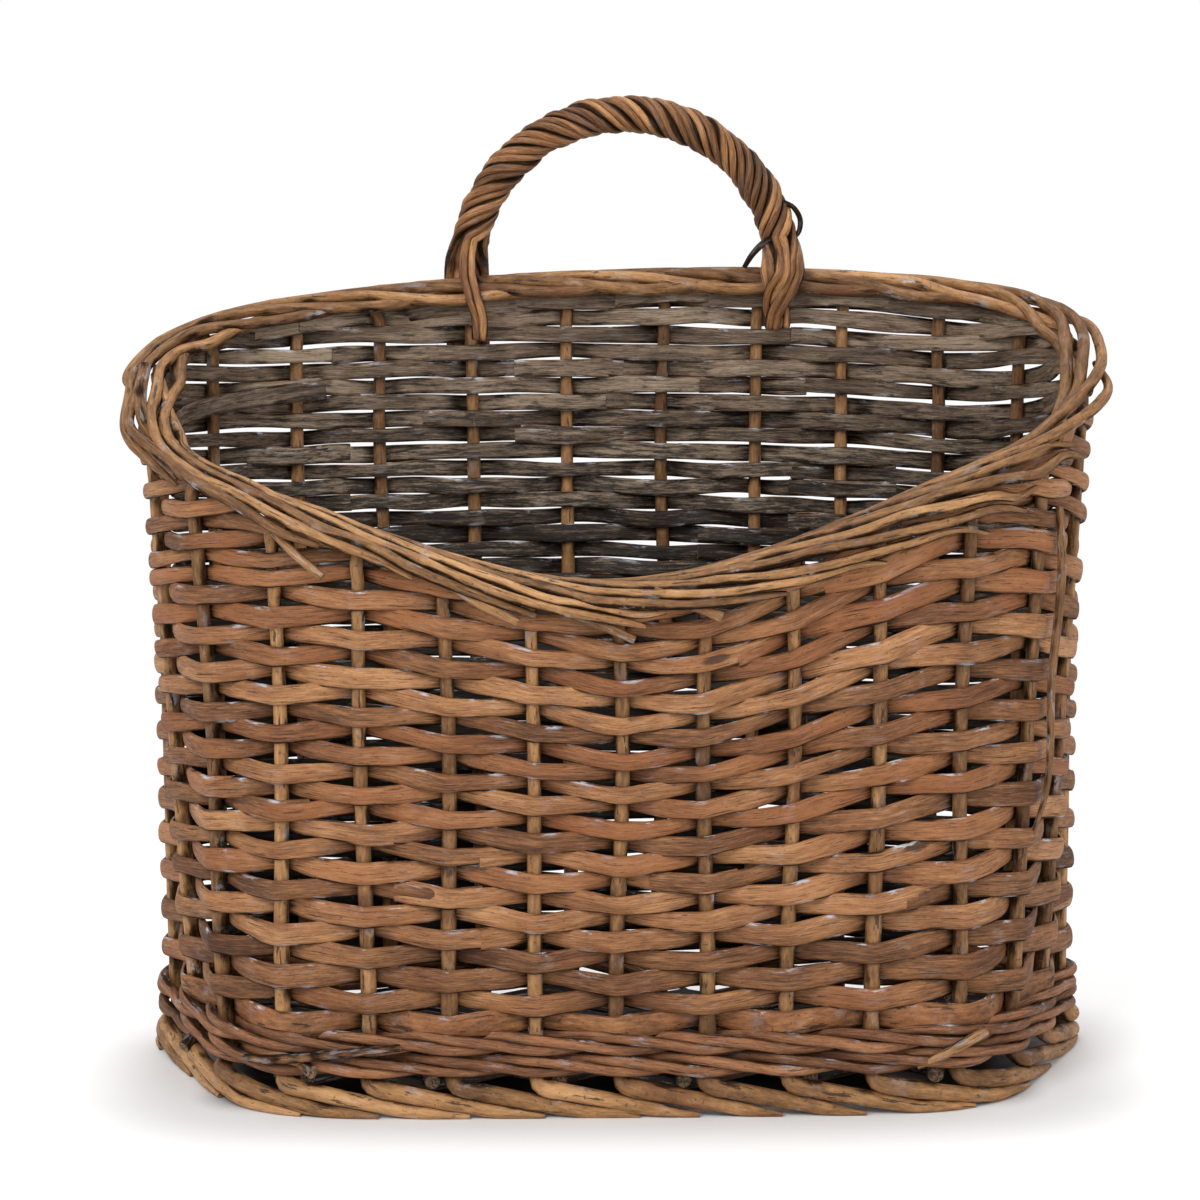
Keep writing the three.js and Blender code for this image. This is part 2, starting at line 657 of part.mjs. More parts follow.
// The arch of a strand, gathered from its left foot into the rope and out to its right foot.
function handleArch(seat, startAngle, endAngle, leftFoot, rightFoot) {
  const archLength = Math.PI * HANDLE_RADIUS;
  const twistLength = archLength - 2 * LEG_SPREAD_LENGTH;
  const stepCount = HANDLE_STEPS_PER_QUARTER * HANDLE_QUARTER_TURNS;
  const lengths = [LEG_SPREAD_LENGTH / 3, (2 * LEG_SPREAD_LENGTH) / 3];
  const lastLengths = lengths.map((length) => archLength - length).reverse();
  for (let step = 0; step <= stepCount; step++) {
    lengths.push(LEG_SPREAD_LENGTH + (step / stepCount) * twistLength);
  }
  return [...lengths, ...lastLengths].map((length) => {
    const turned = THREE.MathUtils.clamp((length - LEG_SPREAD_LENGTH) / twistLength, 0, 1);
    const point = ropePoint(seat, length, lerp(startAngle, endAngle, turned));
    const gather = smoothstep(Math.min(length, archLength - length), 0, LEG_SPREAD_LENGTH);
    const foot = length < archLength / 2 ? leftFoot : rightFoot;
    point.x = lerp(foot.x, point.x, gather);
    point.y = lerp(foot.y, point.y, gather);
    return point;
  });
}

// On the left one strand comes down inside the rim, on the right three do.
function buildHandle() {
  const seat = handleSeat();
  for (let strand = 0; strand < STRAND_COUNT; strand++) {
    const start = (strand / STRAND_COUNT) * 2 * Math.PI;
    const end = start + HANDLE_QUARTER_TURNS * (Math.PI / 2);
    const leftX = HANDLE_X - HANDLE_RADIUS - Math.sin(start) * STRAND_SPREAD;
    const rightX = HANDLE_X + HANDLE_RADIUS + Math.sin(end) * STRAND_SPREAD;
    const leftLeg = handleLeg(seat, leftX, Math.cos(start) < -0.5);
    const rightLeg = handleLeg(seat, rightX, Math.cos(end) < 0.5).reverse();
    const arch = handleArch(seat, start, end, leftLeg[leftLeg.length - 1], rightLeg[0]);
    const out = new THREE.Vector3(0, 1, 0);
    const stations = [...leftLeg, ...arch, ...rightLeg].map((at) => ({
      at,
      out,
      radius: STRAND_RADIUS,
    }));
    addPiece(`handle_strand_${strand + 1}`, rodGeometry(stations, STRAND_SIDES), HANDLE_COLOUR);
  }
}

// Sets the middle of the whole basket, handle included, over the origin.
function centreBasket() {
  const middle = new THREE.Box3().setFromObject(basket).getCenter(new THREE.Vector3());
  for (const mesh of basket.children) mesh.geometry.translate(-middle.x, -middle.y, 0);
}

buildStakes();
buildWale();
buildLowerWeave();
buildUpperWeave();
buildBaseSticks();
buildBaseWeave();
buildHandle();

centreBasket();

export default basket;
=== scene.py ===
# %% [markdown]
# # A hanging basket of woven willow
# The basket is made the way a basket maker makes it: stakes first, then a wale of thin rods
# round the foot, then rows of split willow, and last the borders and the twisted handle.
# Every rod here is a mesh of its own, swept along the path that the real rod takes.

# %% Load the frame
import math

import bpy
import numpy as np
from mathutils import Matrix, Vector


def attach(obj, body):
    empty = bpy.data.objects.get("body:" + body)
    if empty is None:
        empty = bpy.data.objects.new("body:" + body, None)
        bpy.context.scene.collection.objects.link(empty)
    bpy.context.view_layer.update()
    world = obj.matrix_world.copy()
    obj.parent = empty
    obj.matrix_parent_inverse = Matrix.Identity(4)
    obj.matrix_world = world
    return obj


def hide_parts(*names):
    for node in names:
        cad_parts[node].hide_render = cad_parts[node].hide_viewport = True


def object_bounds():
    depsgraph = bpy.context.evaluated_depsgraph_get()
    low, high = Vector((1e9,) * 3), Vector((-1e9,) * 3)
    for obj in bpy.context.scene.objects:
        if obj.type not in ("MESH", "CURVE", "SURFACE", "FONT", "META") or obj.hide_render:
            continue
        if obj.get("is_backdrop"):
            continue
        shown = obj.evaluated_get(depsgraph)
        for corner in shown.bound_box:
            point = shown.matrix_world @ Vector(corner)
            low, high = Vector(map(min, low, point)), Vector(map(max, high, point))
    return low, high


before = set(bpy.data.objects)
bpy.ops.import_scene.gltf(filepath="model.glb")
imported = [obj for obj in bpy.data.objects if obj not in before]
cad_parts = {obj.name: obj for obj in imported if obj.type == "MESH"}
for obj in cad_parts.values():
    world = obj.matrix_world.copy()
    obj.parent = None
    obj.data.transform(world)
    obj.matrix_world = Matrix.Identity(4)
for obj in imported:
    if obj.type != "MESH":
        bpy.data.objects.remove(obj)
cad_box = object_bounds()
print("pieces in the frame:", len(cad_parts))

# %% [markdown]
# ## The shape of the wall
# The rods could be laid on a modelled shell. Here the wall is only a sum: a surface of two
# numbers, which are a position, counted in stakes round the basket from the middle of the
# back, and a height. A table of the plan at the foot and at the rim is enough, because the
# wall runs straight from one to the other. Arrays go in and come out, so a whole rod is
# placed in one call, and all rods follow the same wall.

# %% The plan at the foot and at the rim
STAKE_COUNT = 25
PLAN_MIDDLE = np.array([-0.0411, 4.6353])
SPACING_SPREAD = 0.07
TABLE_SIZE = 2400
TABLE_BLUR = 17


def soft_window(count):
    """Bell-shaped weights that sum to 1."""
    return np.hanning(count) / np.hanning(count).sum()


def unit(vectors):
    """The same vectors with length one."""
    return vectors / np.linalg.norm(vectors, axis=-1, keepdims=True)


def distance_along(points):
    """Distance of each point from the first one, along the line."""
    steps = np.linalg.norm(np.diff(points, axis=0), axis=1)
    return np.concatenate([[0], np.cumsum(steps)])


def plan_table(half_back, half_front, back_y, front_y, square_back, square_front):
    """Rounded plan in mm at equal steps of length: x = +-half width * |sin a|^p and
    y between front and back by the share (1 +- |cos a|^p) / 2, where p = 2 / squareness.
    A soft window takes the corners off."""
    a = np.linspace(0, 2 * np.pi, 5 * TABLE_SIZE + 1)
    across, back = -np.sin(a), np.cos(a)
    power = 2 / (square_front + (square_back - square_front) * (1 + back) / 2)
    share = (1 + np.sign(back) * np.abs(back) ** power) / 2
    half = half_front + (half_back - half_front) * share
    x = np.sign(across) * np.abs(across) ** power * half
    y = front_y + (back_y - front_y) * share
    length = distance_along(np.column_stack([x, y]))
    s = np.linspace(0, length[-1], TABLE_SIZE + 1)[:-1]
    pad = TABLE_BLUR // 2
    columns = [np.pad(np.interp(s, length, column), pad, "wrap") for column in (x, y)]
    smooth = [np.convolve(column, soft_window(TABLE_BLUR), "valid") for column in columns]
    return np.column_stack(smooth), length[-1]


foot_table, foot_length = plan_table(
    half_back=197, half_front=142, back_y=70, front_y=-57.5, square_back=4.8, square_front=6.5)
rim_table, rim_length = plan_table(
    half_back=181, half_front=185.5, back_y=78.5, front_y=-75.5, square_back=3.1, square_front=2.4)
RIM_SPACING = rim_length / STAKE_COUNT
BACK_SPACING = RIM_SPACING * (1 + SPACING_SPREAD)
print(f"round the foot {foot_length:.0f} mm, round the rim {rim_length:.0f} mm")


# %% A place on the wall
def turn_at(position):
    """Share of a turn from the middle of the back: even steps that start half a step to its
    left, plus a sine that sets the stakes wider apart at the back than at the front."""
    even = (position + 0.5) / STAKE_COUNT
    return np.mod(even + SPACING_SPREAD / (2 * np.pi) * np.sin(2 * np.pi * even), 1)


def plan_point(table, position):
    """Point and direction of the plan at a position, read between the rows of its table."""
    row = turn_at(position) * TABLE_SIZE
    low = np.floor(row).astype(int) % TABLE_SIZE
    part = (row - np.floor(row))[..., None]
    step = lambda k: table[(low + k) % TABLE_SIZE]
    point = step(0) * (1 - part) + step(1) * part
    return point, step(4) - step(-4)


def hermite(t, before, after, way_before, way_after):
    """Cubic between two values with given slopes, at the share t of the way."""
    return (
        (2 * t**3 - 3 * t**2 + 1) * before
        + (t**3 - 2 * t**2 + t) * way_before
        + (3 * t**2 - 2 * t**3) * after
        + (t**3 - t**2) * way_after
    )


RIM_BEARINGS = np.radians([0, 45, 90, 180])
RIM_HEIGHTS = np.array([212.5, 251.5, 288.5, 316.5])
RIM_TILT = 5.3
RIM_MIDDLE_Y, RIM_HALF_WIDTH, RIM_HALF_DEPTH = 1.5, 183.25, 77


def rim_height(position):
    """Height of the rim: a smooth curve through four heights between the front and the
    back, with slopes half way between those of its neighbours, plus tilt * sin(bearing)."""
    point, _ = plan_point(rim_table, position)
    bearing = np.arctan2(
        point[..., 0] / RIM_HALF_WIDTH, (RIM_MIDDLE_Y - point[..., 1]) / RIM_HALF_DEPTH)
    rise = np.diff(RIM_HEIGHTS) / np.diff(RIM_BEARINGS)
    slope = np.concatenate([[0], (rise[:-1] + rise[1:]) / 2, [0]])
    i = np.clip(np.searchsorted(RIM_BEARINGS, np.abs(bearing), side="right") - 1, 0, 2)
    gap = RIM_BEARINGS[i + 1] - RIM_BEARINGS[i]
    t = (np.abs(bearing) - RIM_BEARINGS[i]) / gap
    curve = hermite(t, RIM_HEIGHTS[i], RIM_HEIGHTS[i + 1], gap * slope[i], gap * slope[i + 1])
    return curve + RIM_TILT * np.sin(bearing)


def wall(position, height, outset=0.0):
    """Point on the wall and its outward direction: a straight mix of foot and rim plans by
    height / rim height, moved outwards by the outset. Everything is in mm."""
    position, height, outset = np.broadcast_arrays(
        *(np.asarray(value, float) for value in (position, height, outset))
    )
    share = (height / rim_height(position))[..., None]
    foot, foot_way = plan_point(foot_table, position)
    rim, rim_way = plan_point(rim_table, position)
    way = unit(foot_way) * (1 - share) + unit(rim_way) * share
    out = unit(np.stack([way[..., 1], -way[..., 0]], -1))
    flat = foot * (1 - share) + rim * share - PLAN_MIDDLE + out * outset[..., None]
    point = np.concatenate([flat, height[..., None]], -1)
    return point, np.concatenate([out, np.zeros_like(height)[..., None]], -1)


FRONT = 12
print("front of the rim:", wall(FRONT, RIM_HEIGHTS[0])[0].round(1))

# %% [markdown]
# ## Sweeping a rod
# A rod is an outline carried along a path. The path goes smoothly through a few stations,
# and the outline is turned so that one of its sides always looks out of the wall. A curve
# with a bevel would give the same tube. A mesh from arrays is chosen because it also keeps
# what the finish needs: a map that runs along and round the rod like its fibres, and five
# numbers per point: is it bark, how light is it, how much dirt and painted shade it has, how
# dusty and how red.


# %% Smooth paths and slow changes
def smooth_path(stations, step):
    """Cubic curve through the stations (Hermite, with slopes weighted by the distances to
    both neighbours), at equal steps of chord length. Extra columns are carried along."""
    gap = np.maximum(np.linalg.norm(np.diff(stations[:, :3], axis=0), axis=1), 1e-6)
    s = np.concatenate([[0], np.cumsum(gap)])
    slope = np.diff(stations, axis=0) / gap[:, None]
    way = np.vstack([slope[:1], stations[1:-1], slope[-1:]])
    both = (gap[:-1] + gap[1:])[:, None]
    way[1:-1] = (slope[:-1] * gap[1:, None] + slope[1:] * gap[:-1, None]) / both
    at = np.linspace(0, s[-1], max(int(s[-1] / step), 3) + 1)
    i = np.clip(np.searchsorted(s, at, side="right") - 1, 0, len(gap) - 1)
    h = gap[i][:, None]
    t = (at - s[i])[:, None] / h
    return hermite(t, stations[i], stations[i + 1], h * way[i], h * way[i + 1])


def wander(rng, s, wavelength, size):
    """Slow random change along s: the sum of five sines of about that wavelength."""
    turns = 2 * np.pi / (wavelength * rng.uniform(0.6, 1.8, 5))
    return size * np.sin(np.asarray(s)[..., None] * turns + rng.uniform(0, 6.28, 5)).sum(-1) / 2.2


# %% Sweep an outline along a path
def sweep(path, out, section, roll=0.0, sharp=(), **looks):
    """Ring i, point j = path i + section x * across + section y * out, where across is
    out x along. Roll turns the outline about the path. Sharp lists the points of the outline
    that draw a crisp edge. Looks are numbers per point."""
    along = unit(np.gradient(path, axis=0))
    across = unit(np.cross(out, along))
    out = np.cross(along, across)
    roll = np.broadcast_to(roll, len(path))[:, None]
    turned = across * np.cos(roll) + out * np.sin(roll)
    out = out * np.cos(roll) - across * np.sin(roll)
    section = np.broadcast_to(section, (len(path),) + section.shape[-2:])
    rings = path[:, None] + section[..., :1] * turned[:, None] + section[..., 1:] * out[:, None]
    count, sides = rings.shape[:2]
    ring, side = np.arange(count - 1)[:, None] * sides, np.arange(sides)[None]
    after = (side + 1) % sides
    quads = np.stack([ring + side, ring + after, ring + after + sides, ring + side + sides], -1)
    girth = distance_along(np.vstack([section[0], section[0][:1]]))
    u, v = np.meshgrid(distance_along(path), girth, indexing="ij")
    corner = lambda a, b: np.stack([u[a, b], v[a, b]], -1)
    here, on = slice(0, -1), slice(1, None)
    uv = np.stack([corner(here, here), corner(here, on), corner(on, on), corner(on, here)], -2)
    ends = np.stack([np.arange(sides)[::-1], (count - 1) * sides + np.arange(sides)])
    values = {key: np.broadcast_to(value, (count, sides)).ravel() for key, value in looks.items()}
    crisp = np.broadcast_to(np.isin(np.arange(sides), sharp), (count, sides)).ravel()
    return {"points": rings.reshape(-1, 3), "quads": quads.reshape(-1, 4), "ends": ends,
            "uv": uv.reshape(-1, 2), "looks": values, "crisp": crisp, "sides": sides}


# %% Put swept rods into one piece
MM = 0.001
# The third number per point holds real dirt together with painted shade where rods touch or lie
# behind stakes.
LOOKS = ("bark", "tone", "grime", "wash", "russet")
pieces = []


def new_object(name, data):
    """An object with this mesh, lamp or camera, linked to the scene."""
    thing = bpy.data.objects.new(name, data)
    bpy.context.scene.collection.objects.link(thing)
    return thing


def make_piece(name, rods, slot, *nodes):
    """One mesh object from a list of swept rods, which stands for the given nodes of the
    frame. Side faces take the willow finish of the slot and the two end faces of every rod
    take the finish of cut wood."""
    rng = np.random.default_rng(name_number(name))
    firsts = np.cumsum([0] + [len(rod["points"]) for rod in rods[:-1]])
    points = np.concatenate([rod["points"] for rod in rods]) * MM
    quads = np.concatenate([rod["quads"] + first for rod, first in zip(rods, firsts)])
    caps = [rod["ends"] + first for rod, first in zip(rods, firsts)]
    uv = np.concatenate([rod["uv"] + rng.uniform(0, 900, 2) for rod in rods])
    corners = np.concatenate([quads.ravel()] + [cap.ravel() for cap in caps])
    sizes = np.concatenate([np.full(len(quads), 4)] + [np.full(2, cap.shape[1]) for cap in caps])
    mesh = bpy.data.meshes.new(name)
    mesh.vertices.add(len(points))
    mesh.vertices.foreach_set("co", points.ravel())
    mesh.loops.add(len(corners))
    mesh.loops.foreach_set("vertex_index", corners)
    mesh.polygons.add(len(sizes))
    mesh.polygons.foreach_set("loop_start", np.cumsum(sizes) - sizes)
    is_side = np.arange(len(sizes)) < len(quads)
    mesh.update(calc_edges=True)
    mesh.polygons.foreach_set("use_smooth", is_side)
    mesh.polygons.foreach_set("material_index", (~is_side).astype(np.int32))
    mark_crisp_edges(mesh, rods)
    fibre = np.zeros((len(corners), 2))
    fibre[: len(uv)] = uv * MM
    mesh.uv_layers.new(name="Fibre").data.foreach_set("uv", fibre.ravel())
    for key in LOOKS:
        values = [rod["looks"].get(key, np.zeros(len(rod["points"]))) for rod in rods]
        layer = mesh.attributes.new(key, "FLOAT", "POINT")
        layer.data.foreach_set("value", np.concatenate(values))
    mesh.materials.append(WILLOWS[slot])
    mesh.materials.append(cut_wood)
    piece = new_object(name, mesh)
    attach(piece, "root")
    if nodes:
        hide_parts(*nodes)
    pieces.append(piece)


def make_pieces(count, node, ending, rods_of, slot):
    """One piece for each numbered node of the frame."""
    for number in range(count):
        name = node.format(number + 1)
        make_piece(name + ending, rods_of(number), slot, name)


def mark_crisp_edges(mesh, rods):
    """An edge that runs along a rod between two crisp points is shaded as a sharp one."""
    crisp = np.concatenate([rod["crisp"] for rod in rods])
    side = np.concatenate([np.arange(len(rod["points"])) % rod["sides"] for rod in rods])
    pairs = np.empty(2 * len(mesh.edges), np.int32)
    mesh.edges.foreach_get("vertices", pairs)
    a, b = pairs[::2], pairs[1::2]
    lengthwise = crisp[a] & crisp[b] & (side[a] == side[b])
    mesh.attributes.new("sharp_edge", "BOOLEAN", "EDGE").data.foreach_set("value", lengthwise)


def name_number(name):
    """A whole number from the letters of a name, the same on every run."""
    return sum(ord(letter) * 31**k for k, letter in enumerate(name)) % 2**31


# %% [markdown]
# ## The finishes
# Willow keeps its bark on the outside of a split strip: orange brown, satin, with fine
# fibres, knots, cracks and dark specks. The split inside is dull grey brown, mottled with
# mould, and painted shade makes it darker and more mottled low in the basket. All rods were
# washed after weaving, which left a pale dust here and there along their edges. A picture of
# willow would repeat and wouldn't know where a rod is hidden. So the grain is noise that is
# stretched along the fibre map, and the five numbers on the mesh say where bark, dirt with
# painted shade where rods touch or lie behind stakes, and dust go.


# %% Node helpers
def paint(red, green, blue):
    """A colour as it is seen on screen, 0 to 255, turned into the linear one of a shader."""
    screen = np.array([red, green, blue]) / 255
    linear = np.where(screen <= 0.04045, screen / 12.92, ((screen + 0.055) / 1.055) ** 2.4)
    return (*linear, 1.0)


def new_material(name):
    """A material, its node tree and its shader."""
    material = bpy.data.materials.new(name)
    material.use_nodes = True
    return material, material.node_tree, material.node_tree.nodes["Principled BSDF"]


def set_inputs(tree, node, inputs):
    """Each input gets either a plain value or the socket that it is joined to."""
    for key, value in inputs.items():
        if isinstance(value, bpy.types.NodeSocket):
            tree.links.new(value, node.inputs[key])
        else:
            node.inputs[key].default_value = value


def add(tree, kind, inputs=None, **settings):
    """A new shader node with its settings and inputs."""
    node = tree.nodes.new(kind)
    for key, value in settings.items():
        setattr(node, key, value)
    set_inputs(tree, node, inputs or {})
    return node


def combine(tree, operation, a, b):
    """One sum, product or the like of two numbers or sockets."""
    return add(tree, "ShaderNodeMath", {0: a, 1: b}, operation=operation).outputs[0]


def plus(tree, a, b):
    """Sum of two numbers or sockets."""
    return combine(tree, "ADD", a, b)


def times(tree, a, b):
    """Product of two numbers or sockets."""
    return combine(tree, "MULTIPLY", a, b)


def blend_colour(tree, share, a, b):
    """Colour a where the share is 0 and colour b where it is 1."""
    return add(tree, "ShaderNodeMix", {0: share, 6: a, 7: b}, data_type="RGBA").outputs[2]


def lay_over(tree, colour, layer, mask):
    """The colour with one of the layers over it, as far as the layer covers at mask 1."""
    cover, rgb = LAYERS[layer]
    return blend_colour(tree, times(tree, mask, cover), colour, paint(*rgb))


def between(tree, value, low, high):
    """0 below the low value, 1 above the high one and a soft step between them."""
    return add(tree, "ShaderNodeMapRange", {0: value, 1: low, 2: high},
               interpolation_type="SMOOTHSTEP").outputs[0]


def straight(tree, value, low, high, at_low, at_high):
    """A straight change from one number to another while the value goes from low to high."""
    inputs = {0: value, 1: low, 2: high, 3: at_low, 4: at_high}
    return add(tree, "ShaderNodeMapRange", inputs).outputs[0]


def stretched(tree, vector, scale):
    """The vector times one scale for each axis."""
    return add(tree, "ShaderNodeMapping", {0: vector, 3: scale}).outputs[0]


def grain(tree, vector, scale, detail=4.0, roughness=0.55):
    """Noise stretched to three scales along the axes of the vector."""
    inputs = {0: stretched(tree, vector, scale), "Scale": 1.0, "Detail": detail,
              "Roughness": roughness}
    return add(tree, "ShaderNodeTexNoise", inputs).outputs[0]


# %% A willow finish
# How far each layer covers where it is strongest, and its colour.
LAYERS = {
    "russet": (1.0, (150, 88, 48)),
    "stain": (0.45, (112, 62, 36)),
    "knot": (0.85, (52, 34, 24)),
    "speck": (0.6, (60, 38, 25)),
    "crack": (0.85, (44, 26, 15)),
    # The next two layers carry painted shade low in the basket: the dark mottling grows and the
    # pith darkens towards the bottom.
    "mould_and_shade": (0.92, (20, 15, 11)),
    "low_shade": (1.15, (20, 14, 10)),
    # This layer is real dirt and painted shade where rods touch or lie behind stakes.
    "dirt_and_shade": (1.0, (20, 12, 8)),
    "dust": (1.0, (196, 198, 206)),
}
# Heights in metres between which the pith gets painted shade, darker towards the bottom.
LOW_SHADE_TOP, LOW_SHADE_FOOT = 0.29, 0.08


def knot_mask(tree, fibre, hairs):
    """1 on a few ragged spots along the fibres: the cells of a Voronoi pattern whose random
    colour is high enough, near their middle."""
    cells = {0: stretched(tree, fibre, (26, 78, 1)), "Scale": 1.0, "Randomness": 1.0}
    knots = add(tree, "ShaderNodeTexVoronoi", cells)
    number = add(tree, "ShaderNodeSeparateColor", {0: knots.outputs["Color"]}).outputs[0]
    ragged = plus(tree, knots.outputs["Distance"], times(tree, hairs, 0.12))
    near = combine(tree, "SUBTRACT", 1.0, between(tree, ragged, 0.15, 0.22))
    return times(tree, between(tree, number, 0.9, 0.905), near)


def willow_finish(name, bark, pith, gloss):
    """Bark and pith are (dark, middle, light) colours, and the grain picks the colour between
    them. Red, stains, knots, specks and cracks are laid over the bark. Over the pith go mould,
    which painted shade spreads low in the basket, and a painted shade that darkens it towards
    the bottom. Real dirt with painted shade where rods touch, and pale dust, go over both.
    Gloss is the roughness of the lightest wood."""
    material, tree, shader = new_material(name)
    fibre = add(tree, "ShaderNodeUVMap", uv_map="Fibre").outputs[0]
    place = add(tree, "ShaderNodeTexCoord").outputs["Object"]
    looks = {key: add(tree, "ShaderNodeAttribute", attribute_name=key).outputs["Fac"]
             for key in LOOKS}

    streaks = grain(tree, fibre, (50, 600, 1), 6, 0.65)
    hairs = grain(tree, fibre, (150, 2000, 1), 4, 0.7)
    patches = grain(tree, fibre, (30, 130, 1), 4)
    value = times(tree, streaks, 0.5)
    for part, share in ((hairs, 0.65), (patches, 0.35), (looks["tone"], 0.26)):
        value = plus(tree, value, times(tree, part, share))

    def ramp(colours, low, high):
        """The colour at the value, on a ramp of three."""
        node = add(tree, "ShaderNodeValToRGB", {0: between(tree, value, low, high)})
        node.color_ramp.elements[0].color = paint(*colours[0])
        node.color_ramp.elements[1].color = paint(*colours[2])
        node.color_ramp.elements.new(0.5).color = paint(*colours[1])
        return node.outputs[0]

    knot = knot_mask(tree, fibre, hairs)
    bark_masks = {
        "russet": times(tree, looks["russet"], between(tree, value, 0.45, 0.95)),
        "stain": between(tree, grain(tree, place, (38, 38, 60), 4, 0.6), 0.52, 0.75),
        "knot": knot,
        "speck": between(tree, grain(tree, fibre, (420, 1300, 1), 2), 0.64, 0.69),
        "crack": between(tree, grain(tree, fibre, (60, 1300, 1), 4, 0.65), 0.6, 0.63),
    }
    bark_colour = ramp(bark, 0.54, 1.26)
    for layer, mask in bark_masks.items():
        bark_colour = lay_over(tree, bark_colour, layer, mask)

    height = add(tree, "ShaderNodeSeparateXYZ", {0: place}).outputs[2]
    # Painted shade: the pith gets darker from the top height down to the foot height, and the same
    # shade raises the dark mottling there.
    low_shade = straight(tree, height, LOW_SHADE_FOOT, LOW_SHADE_TOP, 0.35, 0.0)
    mould_and_shade = plus(tree, grain(tree, fibre, (70, 500, 1), 7, 0.8), low_shade)
    pith_colour = ramp(pith, 0.5, 1.12)
    pith_colour = lay_over(tree, pith_colour, "mould_and_shade", between(tree, mould_and_shade, 0.51, 0.65))
    pith_colour = lay_over(tree, pith_colour, "low_shade", low_shade)
    colour = blend_colour(tree, looks["bark"], pith_colour, bark_colour)

    # Real dirt smears plus the per-point number, which adds painted shade where rods touch or lie
    # behind stakes.
    smears = times(tree, grain(tree, fibre, (90, 1100, 1), 6, 0.75), 1.6)
    dirt_and_shade = between(tree, plus(tree, smears, looks["grime"]), 1.1, 1.7)
    dirt_and_shade = times(tree, dirt_and_shade, 0.92)
    colour = lay_over(tree, colour, "dirt_and_shade", dirt_and_shade)
    dust = between(tree, grain(tree, fibre, (90, 420, 1), 4, 0.7), 0.52, 0.62)
    colour = lay_over(tree, colour, "dust", times(tree, looks["wash"], dust))

    relief = plus(tree, times(tree, streaks, 0.7), times(tree, hairs, 0.3))
    relief = combine(tree, "SUBTRACT", relief, times(tree, knot, 0.6))
    bump = add(tree, "ShaderNodeBump", {"Height": relief, "Strength": 0.9, "Distance": 0.0009})
    set_inputs(tree, shader, {
        "Base Color": colour,
        "Normal": bump.outputs[0],
        "Roughness": straight(tree, value, 0.4, 1.1, 0.78, gloss),
        "Specular IOR Level": straight(tree, dirt_and_shade, 0.0, 1.0, 0.32, 0.03),
    })
    return material


PITH = ((42, 32, 25), (114, 94, 76), (174, 153, 129))
# The willow of each slot: name of its finish, bark colours and gloss.
WILLOWS = {
    slot: willow_finish(name, bark, PITH, gloss)
    for slot, name, bark, gloss in (
        ("split_willow", "split_willow", ((70, 41, 22), (156, 107, 68), (206, 156, 108)), 0.48),
        ("stake_willow", "stake_willow", ((88, 58, 32), (158, 115, 72), (206, 158, 108)), 0.46),
        ("wale_willow", "thin_willow", ((80, 48, 29), (154, 104, 69), (194, 142, 97)), 0.5),
        ("handle_willow", "handle_willow", ((62, 36, 18), (155, 107, 65), (220, 166, 110)), 0.46),
        ("base_willow", "base_willow", ((74, 54, 38), (122, 96, 74), (160, 130, 100)), 0.6),
    )
}


# %% Cut wood
def cut_wood_finish():
    """End grain. Its rings are too small to see, so it is a mottled grey brown."""
    material, tree, shader = new_material("cut_wood")
    place = add(tree, "ShaderNodeTexCoord").outputs["Object"]
    spots = grain(tree, place, (900, 900, 900), 4, 0.7)
    colour = blend_colour(tree, between(tree, spots, 0.4, 0.62),
                          paint(58, 46, 38), paint(146, 116, 84))
    bump = add(tree, "ShaderNodeBump", {"Height": spots, "Strength": 0.4, "Distance": 0.0004})
    set_inputs(tree, shader, {"Base Color": colour, "Normal": bump.outputs[0], "Roughness": 0.85})
    return material


cut_wood = cut_wood_finish()

# %% [markdown]
# ## How the rods differ
# No two rods are alike. Each stake leans a little to one side, and the weave follows it, so
# the lean is worked out once for every stake and asked for by the weave as well.

# %% The lean of the stakes
FOOT_RADIUS, TOP_RADIUS = 3.2, 2.45
CLEARANCE = 0.3
THICK_SIDES, THIN_SIDES = 14, 12
lean_rng = np.random.default_rng(7)
STAKE_LEAN = lean_rng.uniform(-0.05, 0.05, (2, STAKE_COUNT))


def stake_shift(stake, height):
    """Sideways shift of a stake in stake spacings: one share grows with the height, the
    other swings once over it."""
    stake = np.mod(stake, STAKE_COUNT).astype(int)
    share = np.asarray(height) / 260
    swing = STAKE_LEAN[1][stake] * np.sin(2.6 * np.pi * share)
    return STAKE_LEAN[0][stake] * share + swing


def shift_between(position, height):
    """The shift of the two neighbouring stakes, mixed by the distance to them."""
    left = np.floor(position)
    part = position - left
    return stake_shift(left, height) * (1 - part) + stake_shift(left + 1, height) * part


KNUCKLE_HEIGHT = 11.6
FOOT_RUN = 1.45


def stake_radius(height, rim):
    """A stake gets thinner from its knuckle to where it turns over."""
    share = np.clip((height - KNUCKLE_HEIGHT) / (rim - KNUCKLE_HEIGHT), 0, 1)
    return FOOT_RADIUS + (TOP_RADIUS - FOOT_RADIUS) * share


def rod_sides(count):
    """1 on the two flanks of a rod, where it touches its neighbours, and 0 on its face."""
    a = (np.arange(count) + 0.5) / count * 2 * np.pi
    return np.clip((np.abs(np.cos(a)) - 0.64) / 0.25, 0, 1)


def rod_section(radius, sides, rng):
    """Circle, a little out of round: radius * (1 + 0.04 cos(2 a + phase))."""
    a = (np.arange(sides) + 0.5) / sides * 2 * np.pi
    uneven = 1 + 0.04 * np.cos(2 * a + rng.uniform(0, 6.28))
    circle = np.stack([np.cos(a), np.sin(a)], -1) * uneven[:, None]
    return np.asarray(radius)[..., None, None] * circle


